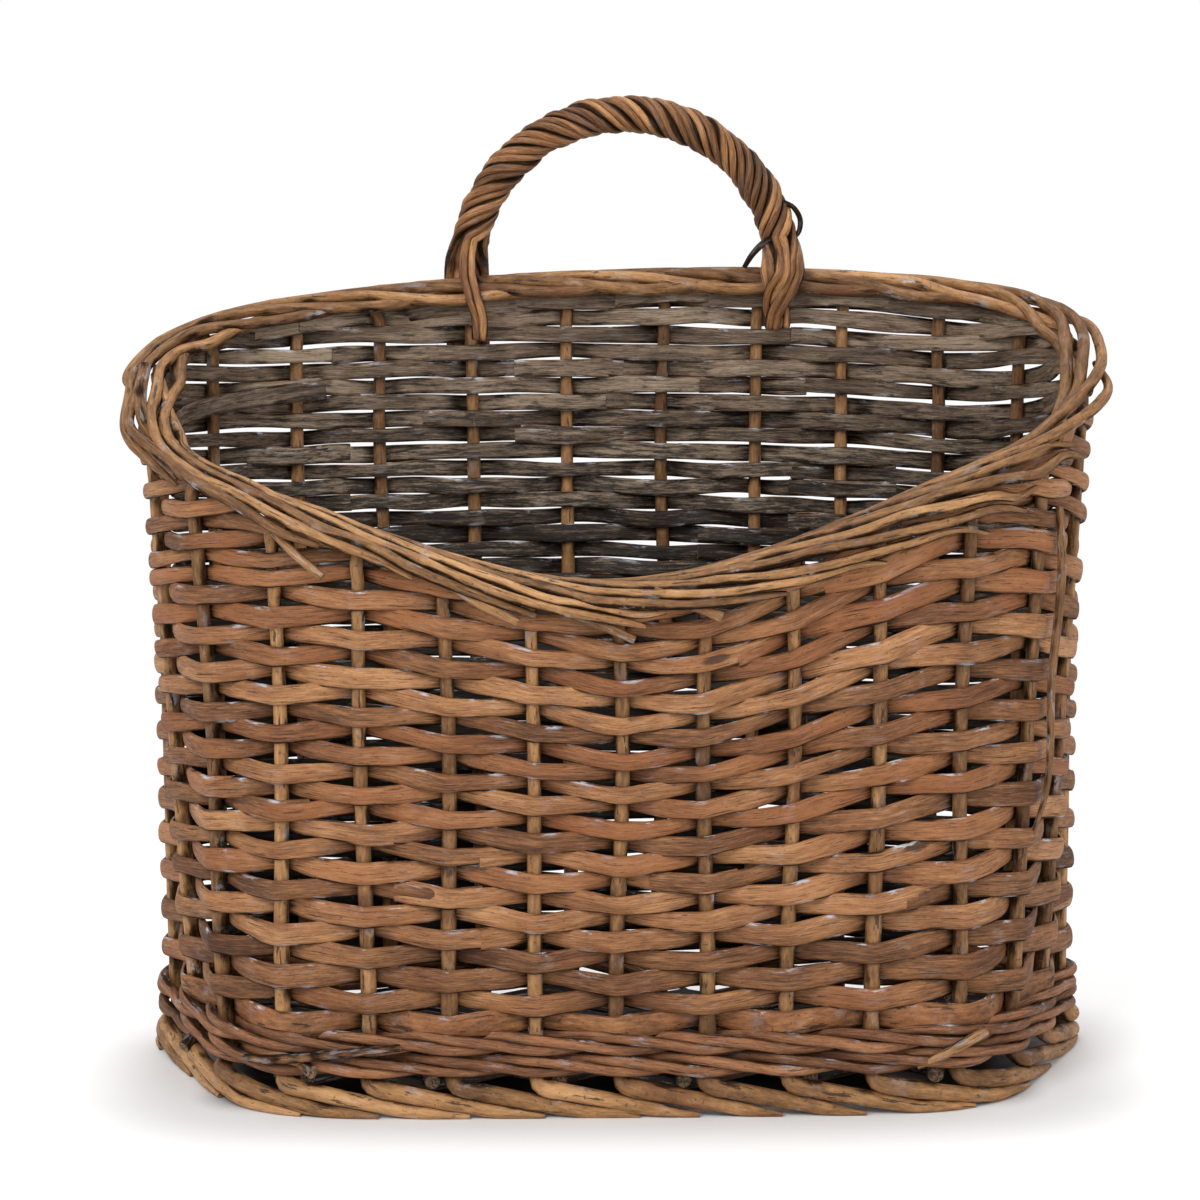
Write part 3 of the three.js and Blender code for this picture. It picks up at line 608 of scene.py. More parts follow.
def knuckled(radius, s, rng, gap=55):
    """The radius with a low swelling at every knot: the knots are a gap apart."""
    at = np.arange(rng.uniform(0, gap), s[-1], gap) + rng.uniform(-12, 12)
    swelling = np.exp(-(((s[:, None] - at) / 2.2) ** 2)).sum(1)
    return radius * (1 + 0.07 * swelling)


# %% [markdown]
# ## Stakes and borders
# One stake is one rod: its butt lies in the foot border, it turns up through the wall, and
# its tip runs along the rim outside its neighbours. Two separate rings for the borders would
# be quicker, but then no rod would turn the corner, which is what one sees up close. So a few
# stations say where the whole rod goes, and a smooth curve through them gives the bends.


# %% Stations of a stake
def foot_stations(stake, rng):
    """From the butt to the knuckle: position, height, outset, radius and facing. The rod
    slopes down beside its neighbour until it lies on the ground."""
    run = np.array([2.0, 1.75, FOOT_RUN, 1.2, 0.9, 0.6, 0.3, 0.1])
    run[:2] += rng.uniform(-0.12, 0.25)
    radius = np.array([0.9, 1.75, 2.7, 3.05, 3.2, 3.35, 3.4, 3.4])
    height = np.maximum(KNUCKLE_HEIGHT + 0.8 - 6.6 * run, radius + 0.02)
    outset = np.array([7.4, 6.9, 5.9, 5.4, 5.3, 5.2, 5.1, 4.9])
    knee = np.array([[0.03, 12.6, 4.1, 3.3], [0.0, 14.6, 1.9, 3.2], [0, 18.6, 0, 3.15]])
    stations = np.vstack([np.column_stack([run, height, outset, radius]), knee])
    stations[:, 0] += stake
    return np.column_stack([stations, np.full(len(stations), np.pi / 2)])


def swell(position, middle, reach):
    """Raised cosine: 1 at the middle, 0 from the reach on, counted round the basket."""
    away = np.abs(np.mod(position - middle + STAKE_COUNT / 2, STAKE_COUNT) - STAKE_COUNT / 2)
    return np.where(away < reach, (1 + np.cos(np.pi * away / reach)) / 2, 0)


RIM_ROLL = 13
RIM_PITCH = 4.95
RIM_START = -0.72
FRONT_STEP = 0.36
TIP_RUN = 5.35


def rim_stations(stake, rng):
    """From the bend to the tip: position, height, outset, radius and facing, which is the
    angle from up to outwards. At the back a rod passes behind its neighbour first, then
    inside the next stake and over the roll to the outside, one rod pitch for every stake
    spacing. At the front the rods come over the top sooner and run on for longer, and on
    the left and right the roll is wider and more uneven."""
    step = 2 * np.arcsin(RIM_PITCH / (2 * RIM_ROLL))
    back = 1 - swell(float(stake), FRONT, 9)
    mix = lambda in_front, behind: np.array(in_front) * (1 - back) + np.array(behind) * back
    first_run = mix([0.0, 0.03, 0.13, 0.3, 0.7], [0.0, 0.1, 0.3, 0.55, 0.85])
    first_drop = mix([11.5, 7.6, 5.0, 2.3, 1.3], [12.0, 6.2, 5.0, 5.2, 5.6])
    first_outset = mix([-0.3, -3.0, -6.6, -7.4, -5.7], [0.3, 0.2, -1.4, -4.2, -7.0])
    tip_run = TIP_RUN + rng.uniform(-0.45, 0.35) + 1.6 * min(1.6 * swell(stake, 6, 8), 1)
    tip_run -= 0.9 * swell(stake, 13, 2.5)
    run = np.concatenate([np.arange(1.2, tip_run - 0.5, 0.5), [tip_run - 0.3, tip_run]])
    ends = swell(stake + run, 6.5, 4) + swell(stake + run, 18.5, 4)
    uneven = 1.7 + 2.2 * ends
    angle = RIM_START + mix(step * run, FRONT_STEP * (run - 1))
    angle += rng.uniform(-0.04, 0.04, len(run)) * uneven
    roll = RIM_ROLL + 2.4 * ends + rng.uniform(-0.35, 0.35, len(run)) * uneven
    drop = roll - roll * np.cos(angle)
    outset = roll * np.sin(angle)
    drop[:3] += np.array([3.2, 2.2, 0.9]) * back
    drop += 1.6 * np.clip(run - 4.2, 0, 3) * (1 - back)
    outset[-3:] -= np.array([0.25, 0.7, 1.0]) * rng.uniform(4.2, 6.2) * (1 - 0.2 * ends[-1])
    drop[-2:] += np.array([0.3, 1.0]) * rng.uniform(-0.6, 2.4)
    run = np.concatenate([first_run, run])
    drop = np.concatenate([first_drop, drop])
    outset = np.concatenate([first_outset, outset])
    facing = np.concatenate([np.linspace(np.pi / 2, angle[0], 5), angle])
    radius = 2.55 - 0.55 * run / 5.75
    radius[-2:] *= np.array([0.85, 0.6])
    height = rim_height(stake + run) - drop
    return np.column_stack([stake + run, height, outset, radius, facing])


STEP = 2.0
FOOT_PART, RIM_PART = 62, 215


def stake_rod(stake):
    """The whole stake as one swept rod, with painted shade along its part in the weave and on
    its flanks where it touches its neighbours, most between the rods of the rim border. Its
    first part lies in the foot border and its last part in the rim border."""
    rng = np.random.default_rng(100 + stake)
    low, high = foot_stations(stake, rng), rim_stations(stake, rng)
    rim = rim_height(np.array(float(stake)))
    levels = np.linspace(30, rim - 22, 9)
    position = stake + stake_shift(np.full(9, stake), levels)
    upright = np.column_stack([position, levels, np.zeros(9), stake_radius(levels, rim),
                               np.full(9, np.pi / 2)])
    shift = stake_shift(np.array([stake]), levels[-1])[0]
    high[:, 0] += shift * np.linspace(1, 0, len(high)) ** 2
    stations = np.vstack([low, upright, high])
    point, out = wall(stations[:, 0], stations[:, 1], stations[:, 2])
    out *= np.sin(stations[:, 4:])
    out[:, 2] = np.cos(stations[:, 4])
    line = smooth_path(np.column_stack([point, out, stations[:, 3]]), STEP)
    path, out, radius = line[:, :3], unit(line[:, 3:6]), line[:, 6]
    s = np.arange(len(path)) * STEP
    radius = knuckled(radius * (1 + wander(rng, s, 60, 0.025)), s, rng)
    radius[-1] *= 0.8
    in_foot, in_rim = s < FOOT_PART, s > s[-1] - RIM_PART
    # Painted shade: the part inside the weave and the flanks where rods touch are darker, over a
    # little random dirt; the rim border gets most.
    grime = np.where((s > FOOT_PART) & (s < s[-1] - RIM_PART), 0.15, 0.0)
    grime = grime + wander(rng, s, 30, 0.08)
    rim_shade = 0.3 + 0.95 * swell(stake, 7.5, 9.5)
    flank = np.where(in_rim, rim_shade, 0.5) + wander(rng, s, 18, 0.25)
    sides = rod_sides(THICK_SIDES)
    wash = np.clip(wander(rng, s, 26, 0.3), 0, 0.6)[:, None] * (0.3 + sides)
    tone = rng.uniform(-0.3, 0.75) + wander(rng, s, 120, 0.15) + 0.3 * in_foot
    return [sweep(path, out, rod_section(radius, THICK_SIDES, rng), bark=1.0,
                  tone=tone[:, None], wash=wash,
                  grime=np.clip(grime[:, None] + sides * flank[:, None], 0, 1))]


# %% Weave the stakes
make_pieces(STAKE_COUNT, "stake_{:02d}", "_rod", stake_rod, "stake_willow")
print("stakes:", STAKE_COUNT)

# %% [markdown]
# ## The wale
# Three thin rods go round the foot together. Each passes outside two stakes and inside one,
# and dips under the next rod as it goes in, which locks the stakes in place. A plain sine
# can't do that, so each rod has a station at every stake and one half way between.


# %% The wale rods
WALE_HEIGHT, WALE_PITCH, WALE_RADIUS = 18.4, 4.5, 1.9
WALE_RUN = 49


def wale_rod(rod):
    """Stations at every stake and half way between: out, out, in. The second round lies two
    pitches above the first."""
    rng = np.random.default_rng(300 + rod)
    at = np.arange(0, WALE_RUN, 0.5)
    phase = (np.floor(at) + rod).astype(int) % 3
    half = at % 1 > 0
    level = np.choose(phase, [np.where(half, 0.5, 1), 0 * at, np.where(half, 1, 0.5)])
    side = np.choose(phase, [0 * at + 1, np.where(half, 0, 1), np.where(half, 0, -1)])
    height = WALE_HEIGHT + WALE_PITCH * (level + 2 * np.clip(at - STAKE_COUNT + 1, 0, 1))
    height += rng.uniform(-0.35, 0.35, len(at))
    reach = FOOT_RADIUS + CLEARANCE + WALE_RADIUS + rng.uniform(-0.1, 0.3, len(at))
    point, out = wall(at, height, side * reach)
    line = smooth_path(np.column_stack([point, out]), STEP)
    s = np.arange(len(line)) * STEP
    radius = knuckled(WALE_RADIUS + 0.25 + wander(rng, s, 200, 0.12), s, rng, 70)
    radius[[0, -1]] *= 0.8
    sides = rod_sides(THIN_SIDES)
    # Painted shade on the flanks where the wale rods touch, over a little random dirt.
    grime = (0.05 + wander(rng, s, 25, 0.12))[:, None] + 0.7 * sides
    wash = np.clip(wander(rng, s, 22, 0.5), 0, 0.8)[:, None] * (0.3 + sides)
    return [sweep(line[:, :3], unit(line[:, 3:]), rod_section(radius, THIN_SIDES, rng), bark=1.0,
                  tone=(0.2 + wander(rng, s, 260, 0.3))[:, None], grime=np.clip(grime, 0, 1),
                  wash=wash)]


make_pieces(3, "wale_rod_{}", "_willow", wale_rod, "wale_willow")

# %% [markdown]
# ## The split strips
# A strip is a split willow rod: a low, glossy arch on the bark side with two crisp edges, and
# flat on the split side. It is stiff, so between two stakes it runs almost straight and it is
# kinked where it passes one. Outside a stake it is pressed down, inside it rides up, and that
# opens the small dark lens shapes beside the stakes. A sine would look like soft cord, so the
# path is a softened zigzag. Where a strip ends, the next one starts a stake earlier, so two
# flat ends lie over each other on the inside.

# %% The section and the zigzag of a strip
FIRST_ROW = WALE_HEIGHT + WALE_PITCH * 3 + WALE_RADIUS + CLEARANCE + 3
ROW_PITCH = 6.85
LOWER_ROWS, UPPER_ROWS = 23, 16
CLIMB = 6
WIDE_ROWS, WIDE_RISE = 10, 8
SPREADS = ((8.5, 5.5, 0.12), (16.4, 4.6, 0.24))


def row_height(row, position):
    """Height of a row, which may be a fraction. The first ten rows stand wider apart, and
    the lower rows also spread on two stretches of the front: each has its middle, its reach
    and the share that it adds."""
    wide_rise = WIDE_RISE * (1 - np.clip(1 - row / WIDE_ROWS, 0, 1) ** 2)
    spread = sum(share * swell(position, middle, reach) for middle, reach, share in SPREADS)
    lower_rise = ROW_PITCH * np.minimum(row, LOWER_ROWS - 1) + wide_rise
    return FIRST_ROW + ROW_PITCH * row + wide_rise + spread * lower_rise


def row_room(row, position):
    """Distance to the next row up."""
    return row_height(row + 1, position) - row_height(row, position)


def strip_section():
    """Outline of height 1 and thickness 1: a low arch with crisp edges on the bark side and
    a nearly flat split side."""
    across = np.array([0.5, 0.485, 0.43, 0.33, 0.18, 0, -0.18, -0.33, -0.43, -0.485, -0.5])
    arch = np.column_stack([across, -0.25 + 0.75 * (1 - (2 * across) ** 2) ** 0.4])
    flat = np.column_stack([[-0.46, -0.24, 0, 0.24, 0.46], [-0.5, -0.47, -0.46, -0.47, -0.5]])
    return np.vstack([arch, flat])


STRIP_SECTION = strip_section()
STRIP_CORNERS = (0, 10)
STRIP_BARK = np.where(np.arange(len(STRIP_SECTION)) <= STRIP_CORNERS[1], 1.0, 0.0)
STRIP_EDGE = np.clip((np.abs(STRIP_SECTION[:, 0]) - 0.35) / 0.12, 0, 1)
LOWER_EDGE = STRIP_EDGE * (STRIP_SECTION[:, 0] < 0)


STIFFNESS = 0.998


def zigzag(phase):
    """Softened triangle wave: 1 at an even stake, -1 at an odd one, straight between."""
    return np.arcsin(STIFFNESS * np.cos(np.pi * phase)) / np.arcsin(STIFFNESS)


KINK = np.random.default_rng(11).uniform(0.75, 1.35, STAKE_COUNT)
STRIP_STEP = 0.045
KINK_BLUR = 17


def strip_face(rng, position, side):
    """The five numbers of a strip's face: painted shade where it lies behind a stake and along
    its edges, with a painted shadow along the lower edge, some blotches of real dirt, and a
    pale line here and there where an edge was rubbed. Some strips are redder. The split side
    gets painted shade where it lies on a stake."""
    s = np.abs(position - position[0])
    # Painted shade where the strip lies behind a stake and along both edges, and a painted shadow
    # along the lower edge; the blotches are real dirt.
    behind_stake_shade = np.clip(-0.45 - side, 0, 1) * 1.6
    blotch = np.clip(wander(rng, position, 0.5, 0.3), 0, 1)
    edge_shade = np.clip(0.25 + wander(rng, position, 0.9, 0.6), 0, 1)
    outer = (behind_stake_shade + 0.3 * blotch)[:, None] + 0.7 * STRIP_EDGE * edge_shade[:, None]
    outer = outer + LOWER_EDGE * (0.7 + wander(rng, position, 0.8, 0.2))[:, None]
    # Painted shade on the split side where it lies against a stake.
    stake_contact_shade = 0.4 * np.clip(side + 0.3, 0, 1) + wander(rng, position, 0.6, 0.22)
    inner = np.clip(stake_contact_shade, 0, 1)[:, None] + 0.5 * STRIP_EDGE
    rubbed = np.clip(0.1 + wander(rng, position, 0.55, 0.8), 0, 1)[:, None]
    tone = rng.uniform(-0.1, 0.7) + wander(rng, s, 3.0, 0.2)
    hue_rng = np.random.default_rng(abs(int(position[0] * 100)) + 7)
    russet = 0.55 * np.clip(hue_rng.uniform(-0.8, 1) + wander(hue_rng, s, 2.0, 0.3), 0, 1)
    return {"bark": STRIP_BARK, "tone": tone[:, None], "russet": russet[:, None],
            "grime": np.clip(np.where(STRIP_BARK > 0, outer, inner), 0, 1),
            "wash": np.clip(rubbed * (0.1 + 1.4 * STRIP_EDGE - 0.8 * LOWER_EDGE), 0, 1)}


def strip(rng, position, row, turned=0.0, end_in=0.0, size=1.0):
    """One strip along the wall. Turned adds to the phase, end_in pushes its last stretch
    further inside by that many mm, and size is its width as a share of the distance between
    the rows."""
    height = row_height(row, position)
    front = swell(position, FRONT, 12.5) ** 0.5
    phase = position - shift_between(position, height) + turned
    side = zigzag(phase)
    thickness = 2.5 + wander(rng, position, 4, 0.15)
    reach = stake_radius(height, rim_height(position)) + 0.1 + thickness / 2
    outset = side * reach + wander(rng, position, 1.7, 0.15)
    outset -= end_in * np.clip(1 - np.abs(position[-1] - position) / 0.9, 0, 1) ** 2
    kink = (0.3 + 0.6 * front) * KINK[np.round(position).astype(int) % STAKE_COUNT]
    kink = np.convolve(np.pad(kink, KINK_BLUR // 2, "edge"), soft_window(KINK_BLUR), "valid")
    z = height - kink * side + wander(rng, position, 1.4, 0.35) + wander(rng, position, 7, 0.5)
    uneven = 1 + wander(rng, position, 1.5, 0.06) - 0.12 * front * np.clip(-side, 0, 1)
    tall = row_room(row, position) * size * uneven * np.linspace(1.04, 0.96, len(position))
    point, out = wall(position, z, outset)
    above, _ = wall(position, z + 1, outset)
    along = unit(np.gradient(point, axis=0))
    out = unit(np.cross(along, above - point)) * np.sign(position[-1] - position[0])
    section = STRIP_SECTION[None] * np.stack([tall, thickness], -1)[:, None]
    roll = np.radians(wander(rng, position, 1.1, 6.0))
    return sweep(point, out, section, roll, STRIP_CORNERS, **strip_face(rng, position, side))


# %% [markdown]
# The lower strips wind upwards round the whole basket in one long line, and the row climbs
# at the end of each turn. Closed rings wouldn't do: with an odd number of stakes the line
# passes each stake on the other side in the next turn by itself. Each of the frame's strips
# makes two turns. Here it is laid in lengths of about two thirds of a metre, as a strip of
# willow really is.


# %% The lower rows
def lower_row(position):
    """Number of the row at a position: the turn, with a climb over its last stakes."""
    turn = np.floor(position / STAKE_COUNT)
    stake = position - turn * STAKE_COUNT
    climb = np.clip((stake - STAKE_COUNT + CLIMB) / CLIMB, 0, None)
    return np.minimum(turn + climb, LOWER_ROWS - 1)


SIDE_STRIPS = 12
SIDE_RUN, LAST_SIDE_RUN = 47, 48


def lower_strips(number):
    """The lengths that stand for one of the frame's strips. The very first one begins with a
    thin end between the rods of the wale."""
    rng = np.random.default_rng(500 + number)
    start = number * SIDE_RUN
    stop = start + (LAST_SIDE_RUN if number == SIDE_STRIPS - 1 else SIDE_RUN)
    strips = []
    while start < stop:
        end = start + 2 * int(rng.integers(8, 12)) + 1
        end = stop if stop - end < 6 else end
        position = np.arange(start - 0.65 if start else -4.4, end + 0.4, STRIP_STEP)
        row = lower_row(np.maximum(position, 0)) + np.minimum(position, 0) / 12
        thin = np.clip(1 + position / CLIMB, 0, 1)
        strips.append(strip(rng, position, row, 0.0, 1.2, rng.uniform(0.94, 1.16) * thin))
        start = end
    return strips


make_pieces(SIDE_STRIPS, "side_weaver_{:02d}", "_strips", lower_strips, "split_willow")

# %% [markdown]
# Above the front rim the rows go only round the back. Every row ends under the sloping
# border on both sides, so its two ends follow from the height of the rim.


# %% The upper rows
def upper_row(row, position):
    """Number of an upper row: right of the back it starts one row lower than on the left,
    and the rows fall a little towards the right end of the basket."""
    left = LOWER_ROWS + row
    right = LOWER_ROWS - 1 + row * UPPER_ROWS / (UPPER_ROWS - 1)
    share = np.clip((position + CLIMB) / CLIMB, 0, 1)
    number = right + (left - right) * share
    fall = 0.13 * np.clip((-2.5 - position) / 4.5, 0, 1) ** 1.3
    return number - (number - LOWER_ROWS + 1) * fall


RIM_TO_ROW = 8.5
FARTHEST = {1: 11.6, -1: -9.6}


def row_end(row, way):
    """How far a row reaches to the left (1) or right (-1) before the border comes down to it."""
    position = np.arange(0, 12.0, 0.05) * way
    clear = rim_height(position) - row_height(upper_row(row, position), position)
    under = np.nonzero(clear < RIM_TO_ROW)[0]
    return position[under[0]] if len(under) else FARTHEST[way]


def upper_strips(pair):
    """Two rows of the back. A long row is two strips that lie over each other at a joint."""
    rng = np.random.default_rng(700 + pair)
    strips = []
    for row in (2 * pair, 2 * pair + 1):
        right, left = row_end(row, -1), row_end(row, 1)
        if left - right < 2:
            right, left = -3.2, 3.2
        joint = float(rng.integers(-3, 4))
        cuts = [(right, left)]
        if left - right > 9:
            cuts = [(right, joint + 0.6), (joint - 0.6, left)]
        for first, last in cuts:
            position = np.arange(first, last, STRIP_STEP)
            number = upper_row(row, position)
            strips.append(strip(rng, position, number, row % 2, 0.6, rng.uniform(0.9, 1.08)))
    return strips


make_pieces(UPPER_ROWS // 2, "back_weaver_{}", "_strips", upper_strips, "split_willow")

# %% [markdown]
# A few cut ends of rods poke out of the weave: one long splint down the right of the front,
# a few at the rim and a few between the rods of the foot.

# %% Cut ends
# Each has its level of dirt and painted shade, then its stations: position, height, outset and
# radius.
SHORT_RODS = (
    (0.6, (7.55, 20.5, 6.0, 1.6), (7.9, 22.5, 9.0, 1.9), (8.7, 27, 9.4, 1.8),
     (9.4, 29.6, 8.8, 1.4)),
    (0.25, (15.5, 18.5, 4.5, 1.6), (15.85, 25, 8.6, 2.1), (16.22, 31.7, 9.6, 2.3)),
    (0.1, (17.2, 236, 4.5, 1.3), (17.16, 215, 8.2, 1.7), (17.05, 170, 9.4, 1.6),
     (17.06, 120, 8.4, 1.2), (17.02, 104, 4.6, 0.8)),
    (0.2, (6.7, 258, 1.0, 2.0), (6.3, 267, 3.2, 2.4), (5.85, 278, 3.0, 2.5),
     (5.45, 288, 2.2, 2.3)),
    (0.1, (8.1, 232, 6.5, 1.7), (8.35, 225, 9.2, 1.9), (8.68, 216, 10.6, 1.8)),
    (0.1, (10.1, 213, 6.5, 1.7), (10.4, 207, 9.0, 1.8), (10.86, 199.5, 10.0, 1.7)),
    (0.1, (11.4, 203, 6.5, 1.6), (11.8, 198, 9.0, 1.8), (12.17, 192.6, 9.8, 1.7)),
    (0.1, (12.4, 212, 6.5, 1.7), (12.75, 207, 9.2, 2.0), (13.15, 201, 10.2, 2.1)),
    (0.6, (6.1, 17.5, 3.0, 2.2), (6.18, 15.5, 7.0, 2.3), (6.24, 13.6, 10.2, 2.3)),
    (0.6, (8.18, 21.5, 3.0, 2.3), (8.3, 20.5, 7.0, 2.5), (8.41, 19.4, 10.6, 2.6)),
)
SHORT_STEP = 1.5


def short_rod(seed, dirt_and_shade, *stations):
    """A cut end that pokes out of the weave."""
    rng = np.random.default_rng(seed)
    stations = np.array(stations, float)
    point, out = wall(stations[:, 0], stations[:, 1], stations[:, 2])
    line = smooth_path(np.column_stack([point, out, stations[:, 3]]), SHORT_STEP)
    s = np.arange(len(line)) * SHORT_STEP
    # Painted shade on the flanks, over the rod's level of real dirt and painted shade.
    grime = dirt_and_shade + 0.5 * rod_sides(THIN_SIDES) + wander(rng, s, 12, 0.15)[:, None]
    section = rod_section(line[:, 6], THIN_SIDES, rng)
    return sweep(line[:, :3], unit(line[:, 3:6]), section, bark=1.0, tone=rng.uniform(-0.2, 0.6),
                 grime=np.clip(grime, 0, 1), wash=0.25)


cut_ends = [short_rod(900 + k, *rod) for k, rod in enumerate(SHORT_RODS)]
make_piece("cut_ends", cut_ends, "stake_willow")

# %% [markdown]
# Two closing strips run down under the border, one on each side, over the ends of the rows.
# They follow the slope of the rim. One more strip was put in late on the left: its end was
# never tucked away and stands off the wall.


# %% Closing strips and a loose end
def row_at(position, height):
    """Number of the row that has this height at the position, found between whole rows."""
    rows = np.arange(-1, 60)
    heights = row_height(rows[:, None], position[None])
    return np.array([np.interp(h, heights[:, k], rows) for k, h in enumerate(height)])


def closing_strip(first, last, below):
    """A strip that keeps the same distance below the rim."""
    rng = np.random.default_rng(int(abs(first) * 10) + 40)
    position = np.arange(first, last, STRIP_STEP)
    row = row_at(position, rim_height(position) - below)
    return strip(rng, position, row, end_in=0.6, size=1.05)


def loose_strip():
    """A wide strip inside the left of the back wall, which leans away from it: its cut end
    is 5 mm further off than its low end."""
    rng = np.random.default_rng(61)
    share = np.linspace(0, 1, 60)
    position = 5.3 - 2.6 * share
    point, out = wall(position, 264 + 8 * share, -7.0 - 5 * share**2)
    section = STRIP_SECTION * np.array([8.0, 2.2])
    face = strip_face(rng, position, np.zeros(60) - 0.3)
    return sweep(point, out, section, 0.0, STRIP_CORNERS, **face)


for side, strip_made in (("right", closing_strip(-9.3, 0.4, 10.0)),
                         ("left", closing_strip(-0.6, 7.4, 10.2))):
    make_piece("closing_strip_" + side, [strip_made], "split_willow")
make_piece("loose_strip", [loose_strip()], "split_willow")

# %% [markdown]
# ## The base
# Six sticks run from front to back under the wale, and flat strips are woven to and fro over
# and under them. The base hardly shows, so its strips end at the foot instead of turning back.

# %% Base sticks and strips
BASE_STICKS, BASE_RADIUS = 6, 3.3
BASE_HEIGHT = WALE_HEIGHT - WALE_RADIUS - CLEARANCE - BASE_RADIUS
BASE_ROWS = 15


def base_line(stick):
    """The two ends of a base stick, on the foot between two stakes."""
    back = (stick - (BASE_STICKS - 1) / 2) * 1.5
    return wall(np.array([back - 0.5, FRONT - back]), BASE_HEIGHT, 0.6)[0]


def base_stick(stick):
    """A straight rod with a slight sag and an uneven girth."""
    rng = np.random.default_rng(900 + stick)
    ends = base_line(stick)
    share = np.linspace(0, 1, 60)[:, None]
    path = ends[0] * (1 - share) + ends[1] * share
    path[:, 2] += wander(rng, share[:, 0], 0.8, 0.2)
    radius = knuckled(np.full(60, BASE_RADIUS - 0.05), share[:, 0] * 130, rng, 60)
    radius[[0, -1]] *= 0.85
    up = np.tile([0.0, 0.0, 1.0], (60, 1))
    return [sweep(path, up, rod_section(radius, THICK_SIDES, rng), bark=1.0,
                  tone=rng.uniform(-0.5, 0.4), grime=0.25, wash=0.6)]


def base_strips():
    """Rows of strip across the sticks, each as long as the foot is wide there."""
    rng = np.random.default_rng(950)
    ring = wall(np.linspace(0, STAKE_COUNT, 1500), BASE_HEIGHT, -6.5)[0]
    front, back = ring[:, 1].min() + 4.5, ring[:, 1].max() - 4.5
    rows = []
    lines = np.array([base_line(stick) for stick in range(BASE_STICKS)])
    for row, y in enumerate(np.linspace(back, front, BASE_ROWS)):
        near = ring[np.abs(ring[:, 1] - y) < 1.2]
        reach = np.abs(near[:, 0]).max() - 1.5
        x = np.arange(-reach, reach, 1.6)
        part = (y - lines[:, 0, 1]) / (lines[:, 1, 1] - lines[:, 0, 1])
        sticks = lines[:, 0, 0] + (lines[:, 1, 0] - lines[:, 0, 0]) * part
        number = np.arange(BASE_STICKS)
        phase = np.interp(x, sticks[::-1], number, left=-0.4, right=BASE_STICKS - 0.6) + row
        z = BASE_HEIGHT + 4.9 * zigzag(phase) + wander(rng, x, 60, 0.2)
        path = np.column_stack([x, y + wander(rng, x, 90, 0.4), z])
        section = STRIP_SECTION * np.array([rng.uniform(7.6, 8.3), 2.8])
        down = np.tile([0.0, 0.0, -1.0], (len(x), 1))
        # The strip edges get painted shade where they touch, over an even level of real dirt.
        rows.append(sweep(path, down, section, 0.0, bark=STRIP_BARK, tone=rng.uniform(-0.3, 0.8),
                          grime=0.2 + 0.3 * STRIP_EDGE, wash=0.5 * STRIP_EDGE))
    return rows


make_pieces(BASE_STICKS, "base_stick_{}", "_rod", base_stick, "base_willow")
make_piece("base_weaver_strips", base_strips(), "base_willow", "base_weaver")

# %% [markdown]
# ## The handle
# Four strands are twisted into a rope and bent to a half circle over the back rim. Each
# strand is a rod split in two that stays together, so it shows a dark line along its middle,
# made deeper by painted shade on the flanks of each split.
# On the left one strand comes down inside the rim, on the right three do, and the rest go
# down behind the border and are tucked in against the weave. A straight rope could be bent
# by a modifier, but its feet couldn't part like that. So the path of each strand is worked
# out from its angle round the rope.

# %% The feet of a handle strand
HANDLE_RADIUS, HANDLE_X = 65, 5
ROPE_RADIUS, FOOT_SPREAD = 5.15, 5.7
QUARTER_TURNS = 17
GATHER = 15
INSIDE, BEHIND = 8.9, 18.35


def position_at(x):
    """Position on the flat back of the wall."""
    return -np.asarray(x) / BACK_SPACING - 0.5


HANDLE_POSITION = position_at(HANDLE_X - HANDLE_RADIUS)
HANDLE_RIM = float(rim_height(HANDLE_POSITION))
ARCH_Z = HANDLE_RIM + 3.5
ARCH_Y = float(wall(HANDLE_POSITION, HANDLE_RIM)[0][1]) + (BEHIND - INSIDE) / 2


def handle_foot(way, angle, is_inside):
    """Points from the end of a strand up to the arch, on the left (-1) or right (1). The
    angle is the strand's place round the rope. Behind the border it is tucked against the
    weave; inside on the right the strands go on turning about each other."""
    x = HANDLE_X + way * (HANDLE_RADIUS + np.sin(angle) * FOOT_SPREAD)
    drop = np.array([42, 30.25, 21.25, 12.25, 0])
    outset = np.array([INSIDE, INSIDE, BEHIND - 0.3, BEHIND, BEHIND])
    if is_inside and way < 0:
        drop = np.array([26, 17, 8, 0])
        x = x + 4.5 * np.minimum(drop / 17, 1)
        outset = -INSIDE - np.array([0, 1.5, 1.5, 0])
    elif is_inside:
        drop = np.array([22, 17, 12, 7, 0])
        circling = angle + drop * 0.13
        reach = FOOT_SPREAD - 0.15 * drop
        x = HANDLE_X + HANDLE_RADIUS - 0.1 * drop + np.sin(circling) * reach
        outset = -INSIDE - 1 - (1 - np.cos(circling)) * 0.5 * reach
    return wall(position_at(x), ARCH_Z - drop, outset)[0]


